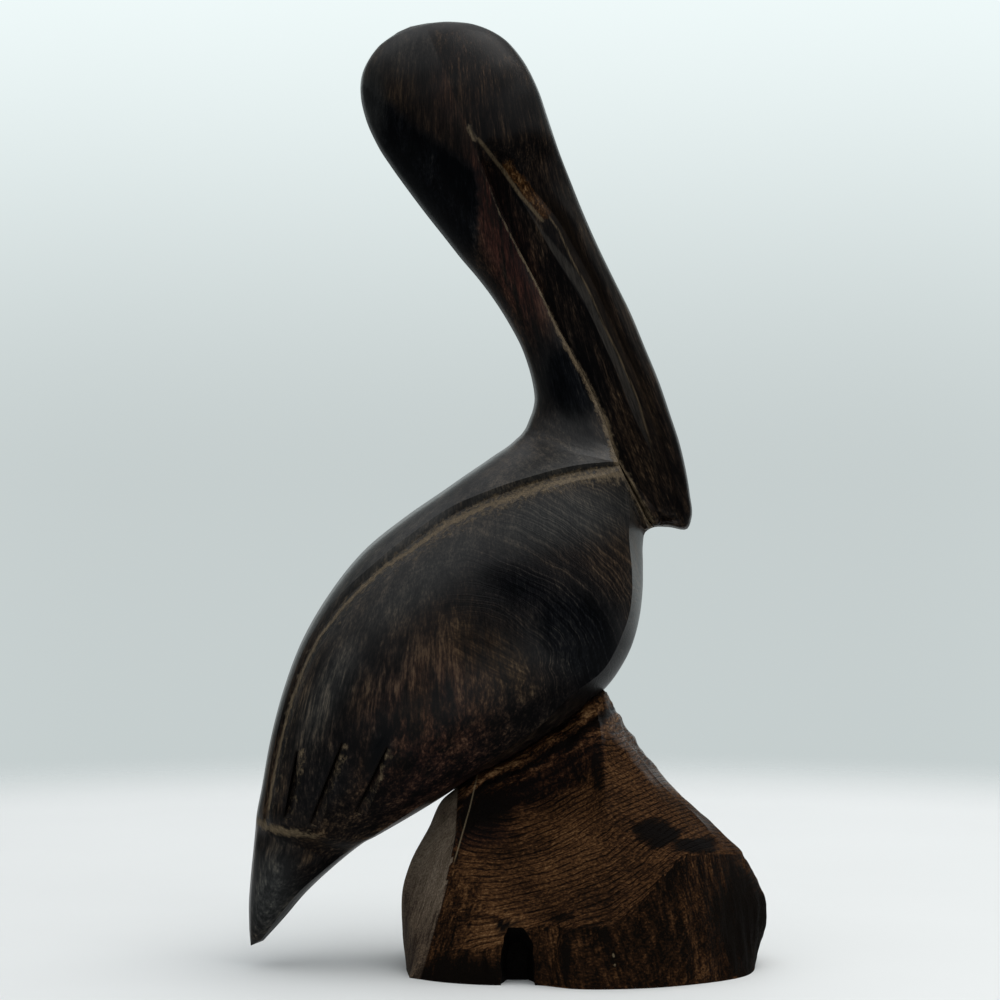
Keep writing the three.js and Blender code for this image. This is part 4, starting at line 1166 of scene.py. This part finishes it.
class Shader(Nodes):
    """Node tree of one material around a principled shader."""

    def __init__(self, name):
        self.material = bpy.data.materials.new(name)
        self.material.use_nodes = True
        super().__init__(self.material.node_tree)
        self.bsdf = self.node("ShaderNodeBsdfPrincipled")
        self.node("ShaderNodeOutputMaterial", (Value(self, self.bsdf.outputs["BSDF"]),))

    def set(self, name, value):
        self.put(self.bsdf.inputs[name], value)

    def bump(self, height, depth):
        self.set("Normal", self.value("ShaderNodeBump", {"Distance": depth, "Height": height}))

    def limit(self, *names):
        """Product of soft limits from the table."""
        first, *others = [self.attribute(LIMITS[name][0]).step(*LIMITS[name][1:]) for name in names]
        for other in others:
            first *= other
        return first

    def ridge(self, name):
        field, centre, width = RIDGES[name]
        return self.attribute(field).ridge(centre, width)

    def wood_noise(self, kind):
        """Noise from the table, drawn out along the fibres."""
        across, along, detail, rough = NOISES[kind]
        inputs = (self.attribute("grain", "Vector"), (across, across, along))
        stretched = self.value("ShaderNodeVectorMath", inputs, operation="MULTIPLY")
        return self.noise(stretched, 1.0, detail, rough)

    def normal(self):
        return self.parts(self.value("ShaderNodeNewGeometry", (), "Normal"))


def polished_wood():
    """Satin wood of the bird. Its tone is a share of the colour ramps, summed from noises and patches."""
    sh = Shader("polished_ironwood")
    grain = sh.attribute("grain", "Vector")
    dark_patch, red_patch, tan_patch = sh.parts(sh.attribute("tone", "Vector"))
    bill = sh.limit("bill")
    arcs = sh.limit("body") * (1 - bill) * sh.attribute("swirl_share")

    # fibres run down the bird and fan out, rings cut the belly in nested arcs
    age = sh.attribute("swirl") + sh.noise(grain, 0.05, 2) * 9 + sh.noise(grain, 0.35, 2) * 1.1
    layers, lines, fine = sh.bands(age, 0.9, 2, 0.6), sh.bands(age, 2.3, 1), sh.bands(age, 1.3, 1)
    hair = fine.step(0.58, 0.68) * sh.noise(grain, 0.12, 2).step(0.42, 0.58)
    fibre, streak, cloud, speck = [sh.wood_noise(kind) for kind in ("fibre", "streak", "cloud", "speck")]

    tone = bill * -0.19 + 0.42 - sh.limit("belly_dim") - sh.limit("head_dim")
    tone += layers.around(arcs * 0.9) + lines.around(arcs * 0.6)
    tone += hair * arcs * (dark_patch * 0.15 + 0.12)
    upright = (arcs * -0.55 + 1) * (tan_patch * sh.limit("calm_tan") + sh.limit("streaky"))
    drawn_out = bill * 0.7 + upright
    tone += fibre.around(drawn_out) + streak.around(drawn_out)
    tone += speck.around(bill * 0.4 + 1) + cloud.around(1.1)
    tone += slanting(sh).around(tan_patch * sh.limit("slanting")) + dark_patch * -0.22
    colour = sh.ramp(tone, WOOD_STOPS)
    for share, stops in (
        (tan_patch * streak.step(0.35, 0.6, 0.35, 1.0), TAN_STOPS),
        (red_patch * streak.step(0.3, 0.55) * (bill * -0.6 + 1), RED_STOPS),
        (dark_patch * 0.9, COOL_STOPS),
        # painted sheen: grey where the upper wing, back, shoulder, tail tip and head rims would catch the
        # light
        (sh.attribute("painted_sheen") * sh.limit("inside_neck") * 0.8, PAINTED_SHEEN_STOPS),
    ):
        colour = sh.mix(share, colour, sh.ramp(tone, stops))
    colour = bill_edges(sh, colour, fibre)

    # rasped, unpolished wood in the carved lines, partly painted highlight on their lit walls and ridges
    rasp, rasp_noise = rasp_and_highlight_share(sh), sh.wood_noise("rasp")
    colour = sh.mix(rasp, colour, sh.ramp(rasp_noise, RASP_AND_HIGHLIGHT_STOPS))
    colour = gold_patch(sh, colour, rasp_noise)
    # painted shade: the bottoms of the cuts go near black
    sh.set("Base Color", sh.mix(cut_shade(sh, streak), colour, STAIN_AND_SHADE_BLACK))
    sh.set("Roughness", fibre * 0.18 + 0.22 + rasp * 0.3)
    sh.set("Specular IOR Level", matt_share(sh, dark_patch) * -POLISHED_GLOSS + POLISHED_GLOSS)
    sh.bump(fibre * 0.5 + lines * arcs * 0.4 + rasp_noise * rasp * 2, POLISHED_RELIEF)
    return sh.material


def slanting(sh):
    """Streaks that run down towards the breast at 45 degrees."""
    x, y, z = sh.parts(sh.attribute("grain", "Vector"))
    return sh.noise(sh.joined((x + z) * 0.65, (x - z) * 0.07, y * 0.3), 1.0, 3, 0.65)


def matt_share(sh, dark_patch):
    """Where no light is caught: deep in the bill's cut, under the belly and on the darkest wood."""
    pocket = sh.limit("pocket_end", "pocket_start", "under_culmen").most(sh.limit("pocket_start") * 0.7)
    pocket *= sh.limit("past_neck")
    under = sh.normal()[2].step(0.0, -0.35) * 0.92
    darkest = dark_patch.step(0.6, 1.1, 0.0, 0.85)
    return pocket.most(under, darkest, sh.limit("belly_matt"), sh.limit("crown_matt"))


def bill_edges(sh, colour, fibre):
    """Greyer wood painted as sheen on the two ridges along the bill, and brown wood, partly painted
    shade, in the groove between them.
    """
    along = sh.limit("bill_start", "bill_end")
    strip = sh.limit("past_jaw", "below_culmen")
    strip *= (sh.limit("strip_width") - sh.attribute("jaw")).step(0.0, 0.7)
    sheen_strips = strip.most(sh.limit("on_culmen", "culmen_fade")) * along
    colour = sh.mix(sheen_strips * fibre.step(0.3, 0.7, 0.25, 0.9), colour, BILL_SHEEN_GREY)
    edge = sh.ridge("culmen_edge") * along * 0.7
    colour = sh.mix(edge * fibre.step(0.35, 0.6), colour, EDGE_TAN)
    groove = sh.ridge("bill_groove").step(0.0, 0.5) * along
    return sh.mix(groove * fibre.step(0.3, 0.65, 0.1, 0.8), colour, GROOVE_BROWN_SHADE)


def rasp_and_highlight_share(sh):
    """Where rasped wood shows, partly as painted highlight on walls and ridges that face the light: the
    wing groove's lower wall, the neck line, the slits and the tail step.
    """
    width = sh.limit("crest_width")
    crest = sh.attribute("wing").ridge(width * -0.8, width)
    crest = crest.most(sh.limit("glow_below", "glow_above", "glow_fade"))
    crest *= sh.limit("inside_neck", "wing_start")
    line = sh.attribute("neck").ridge(sh.limit("neck_shift"), sh.limit("neck_width"))
    line *= sh.limit("neck_fade", "neck_start")
    step = sh.ridge("tail_step") * sh.limit("step_fade")
    total = crest.most(line, step, sh.limit("slit_rasp_and_highlight"), sh.limit("nick"))
    total *= abs(sh.normal()[1]).step(0.0, 0.3, 0.35, 1.0)
    total += sh.wood_noise("rasp_edge").around(total.step(0.0, 0.15, 0.0, 2.6))
    return total.step(0.2, 0.95, 0.0, 0.85)


def gold_patch(sh, colour, rasp_noise):
    """Golden brown rasped wood at the root of the bill, with a thin pale line along its lower edge."""
    ragged = sh.noise(sh.attribute("grain", "Vector"), 0.6, 3, 0.7)
    inside = (sh.attribute("gold") + ragged.around(5)).step(2.1, 1.2)
    shade = ragged.around(1.6) + rasp_noise.around(1.6) + 0.42
    colour = sh.mix(inside, colour, sh.ramp(shade, GOLD_STOPS))
    return sh.mix(sh.limit("gold_rim") * rasp_noise.step(0.35, 0.55, 0.3, 1.0), colour, EDGE_TAN)


def cut_shade(sh, streak):
    """Painted shade: near black at the bottom of the cuts and on the steep side of the slits."""
    wing = sh.ridge("wing_cut") * sh.limit("inside_neck", "wing_cut_fade") * 0.5
    wing *= streak.step(0.4, 0.6, 0.1, 1.0)
    return wing.most(sh.limit("slit_cut_shade"), sh.ridge("neck_cut") * sh.limit("neck_cut_fade"))


def hewn_wood():
    """Rough wood of the foot, with growth rings on the slopes and long fibres on the upright sides."""
    sh = Shader("hewn_ironwood")
    grain = sh.attribute("grain", "Vector")
    facing = sh.parts(sh.attribute("facet", "Vector"))
    dark_patch, red_patch, tan_patch = sh.parts(sh.attribute("tone", "Vector"))
    upright = abs(facing[2]).step(0.38, 0.2)
    sawn = sh.limit("sawn") * facing[0].step(-0.2, -0.4)
    rough = 1 - sawn
    kinds = ("hewn_fibre", "hewn_split", "hewn_cloud", "hewn_speck")
    fibre, split, cloud, speck = [sh.wood_noise(kind) for kind in kinds]
    broken = sh.noise(grain, 0.35, 3)

    age = sh.attribute("ring") + sh.noise(grain, 0.05, 2) * 6 + sh.noise(grain, 0.5, 3) * 0.9
    line = sh.math("PINGPONG", age, RING_WIDTH / 2).step(0.4, 0.0)
    line *= broken.step(0.3, 0.6, 0.2, 1.0) * rough
    tone = line * (red_patch * -0.4 + upright * 0.2 - 0.3) + 0.43
    tone += red_patch * -0.12 + tan_patch * 0.12 + sawn * 0.08 + upright * -0.24
    tone += fibre.around(upright * 1.5 + 0.2) + split.around(upright * 1.1)
    tone += speck.around(1.1) + cloud.around(0.7)

    # short pale dashes lie along the rings, and dark stains run out along them in lobes; where the dark
    # patches hold painted shade, as in the scoop under the belly, the lobes take it down to near black
    x, y = sh.parts(grain)[:2]
    sideways = x + y
    dashes = sh.noise(sh.joined(sideways * 0.55, age * 3), 1.0, 2, 0.6)
    arcs = sh.bands(age, 0.35, 2, 0.6)
    lobed = (arcs.around(0.7) + broken * 0.7 - 0.4) * (1 - upright) * 1.7 + dark_patch
    lobed += fibre.around(upright)
    tone += dashes.around(upright * -0.6 + 0.9) + arcs.around(red_patch * 1.8)
    tone += lobed.step(0.2, 1.0) * -0.5

    # a pale line runs along the sawn flat as a painted highlight on the edge of the narrow strip, and the
    # wood beside it is darker
    on_strip = sh.limit("strip_start", "strip_end")
    strip_highlight = sh.ridge("strip_highlight") * on_strip
    tone += sh.limit("beside_strip_line", "near_saw") * on_strip * -0.25

    # two ledges cut under the belly show pale torn wood on their raised tops, partly painted highlight,
    # and painted shade in the dents between them
    torn = sh.limit("ledge_top", "ledge_low") * rough
    torn_and_lit_tops = sh.ridge("upper_ledge").most(sh.ridge("lower_ledge"))
    dent_shade = sh.ridge("upper_dent_shade").most(sh.ridge("lower_dent_shade"))
    twisted = sh.noise(sh.joined(sideways * 0.3, sh.attribute("ledge") * 4), 1.0, 3, 0.65)
    tone += twisted.around(torn * 1.5) + torn_and_lit_tops * torn * 0.24 + dent_shade * torn * -0.5
    colour = sh.ramp(tone, HEWN_STOPS)
    colour = sh.mix(red_patch * 0.55, colour, sh.ramp(tone, RED_STOPS))
    colour = sh.mix(lobed.step(0.95, 1.15, 0.0, 0.85), colour, STAIN_AND_SHADE_BLACK)

    # the smooth saw cut on the left is greyer and partly painted lighter as if lit from the left, the
    # hollow is painted black as shade
    colour = sh.mix(sawn * sh.limit("greyed"), colour, sh.ramp(tone, SAWN_AND_LIT_STOPS))
    colour = sh.mix(strip_highlight.most(sh.limit("chip")) * 0.45, colour, STRIP_HIGHLIGHT_AND_CHIPS)
    sh.set("Base Color", sh.mix(sh.attribute("hollow_shade"), colour, STAIN_AND_SHADE_BLACK))

    # a smooth split flat on the right catches the light
    smooth = facing[0].step(0.6, 0.75) * sh.limit("split_flat")
    sh.set("Roughness", speck * 0.2 + 0.6 + smooth * -0.4)
    sh.set("Specular IOR Level", smooth * 0.5 + HEWN_GLOSS)
    relief = line * (upright * 0.4 - 0.6) + speck * 0.9 + fibre * (upright * 1.6 + 0.2)
    sh.bump(relief * (sawn * -0.7 + 1), HEWN_RELIEF)
    return sh.material


def pale_table():
    """Matt pale table whose rim fades away into the pale room."""
    sh = Shader("pale_table")
    place = sh.value("ShaderNodeNewGeometry", (), "Position")
    sh.set("Base Color", sh.mix(sh.noise(place, 9, 3), *TABLE_COLOURS))
    sh.set("Roughness", 0.7)
    sh.set("Specular IOR Level", 0.2)
    reach = sh.value("ShaderNodeVectorMath", (place,), "Value", operation="LENGTH")
    sh.set("Alpha", reach.step(TABLE_RADIUS * 0.98, TABLE_RADIUS * 0.62))
    return sh.material


def table_top():
    """Round pale table the statue stands on."""
    turns = np.linspace(0, 2 * math.pi, 128, endpoint=False)
    rim = [(TABLE_RADIUS * math.cos(a), TABLE_RADIUS * math.sin(a)) for a in turns]
    points = [(x, y, 0) for x, y in rim] + [(x, y, -TABLE_THICK) for x, y in rim]
    n = len(rim)
    faces = [tuple(range(n)), tuple(range(2 * n - 1, n - 1, -1))]
    faces += [(i, n + i, n + (i + 1) % n, (i + 1) % n) for i in range(n)]
    mesh_object("table", points, faces, [pale_table()])


def area_light(name, at, target, size, power, colour):
    light = bpy.data.lights.new(name, "AREA")
    light.shape = "RECTANGLE"
    light.size, light.size_y = size
    light.energy = power
    light.color = colour
    obj = add_object(name, light)
    obj.location = at
    obj.rotation_euler = (Vector(target) - Vector(at)).to_track_quat("-Z", "Y").to_euler()


def studio():
    """Pale room, bright straight behind the statue, overhead and at the right, dim on the near side."""
    world = bpy.data.worlds.new("room")
    world.use_nodes = True
    sky = Nodes(world.node_tree)
    x, y, z = sky.parts(sky.value("ShaderNodeTexCoord", (), "Generated"))
    backdrop = z.step(0.0, 0.24) * 0.62 + 1 + z.step(0.3, 0.9) * SKY_STRENGTH
    seen = sky.value("ShaderNodeLightPath", (), "Is Camera Ray")
    room = backdrop * y.step(*ROOM_BEHIND).most(seen) + NEAR_STRENGTH
    room += (x * 0.8 + y * 0.6).step(*WINDOW) * WINDOW_STRENGTH
    room += (x * -0.8 + y * 0.6).step(*WINDOW) * LEFT_STRENGTH
    above = (y * -0.2 + z * 0.9).step(*CEILING) * CEILING_STRENGTH
    coloured = ((ROOM_COLOUR, room), (CEILING_COLOUR, above))
    lit = [sky.value("ShaderNodeBackground", inputs) for inputs in coloured]
    sky.node("ShaderNodeOutputWorld", (sky.value("ShaderNodeAddShader", lit),))
    bpy.context.scene.world = world
    for name, at, size, power, colour in LIGHTS:
        area_light(name, at, LIGHT_TARGET, size, power, colour)


def photo_camera():
    """Level camera in front of the bird's near side."""
    data = bpy.data.cameras.new("camera")
    data.lens = CAMERA_LENS
    data.sensor_width = 36
    obj = add_object("camera", data)
    obj.location = CAMERA_AT
    obj.rotation_euler = (math.pi / 2, 0, 0)
    bpy.context.scene.camera = obj


photo_camera()
studio()
table_top()
statue = carving([polished_wood(), hewn_wood()])
place(statue)
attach(statue, "root")
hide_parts(NODE)
bpy.context.scene.view_settings.view_transform = "Standard"
bpy.context.scene.cycles.use_denoising = True
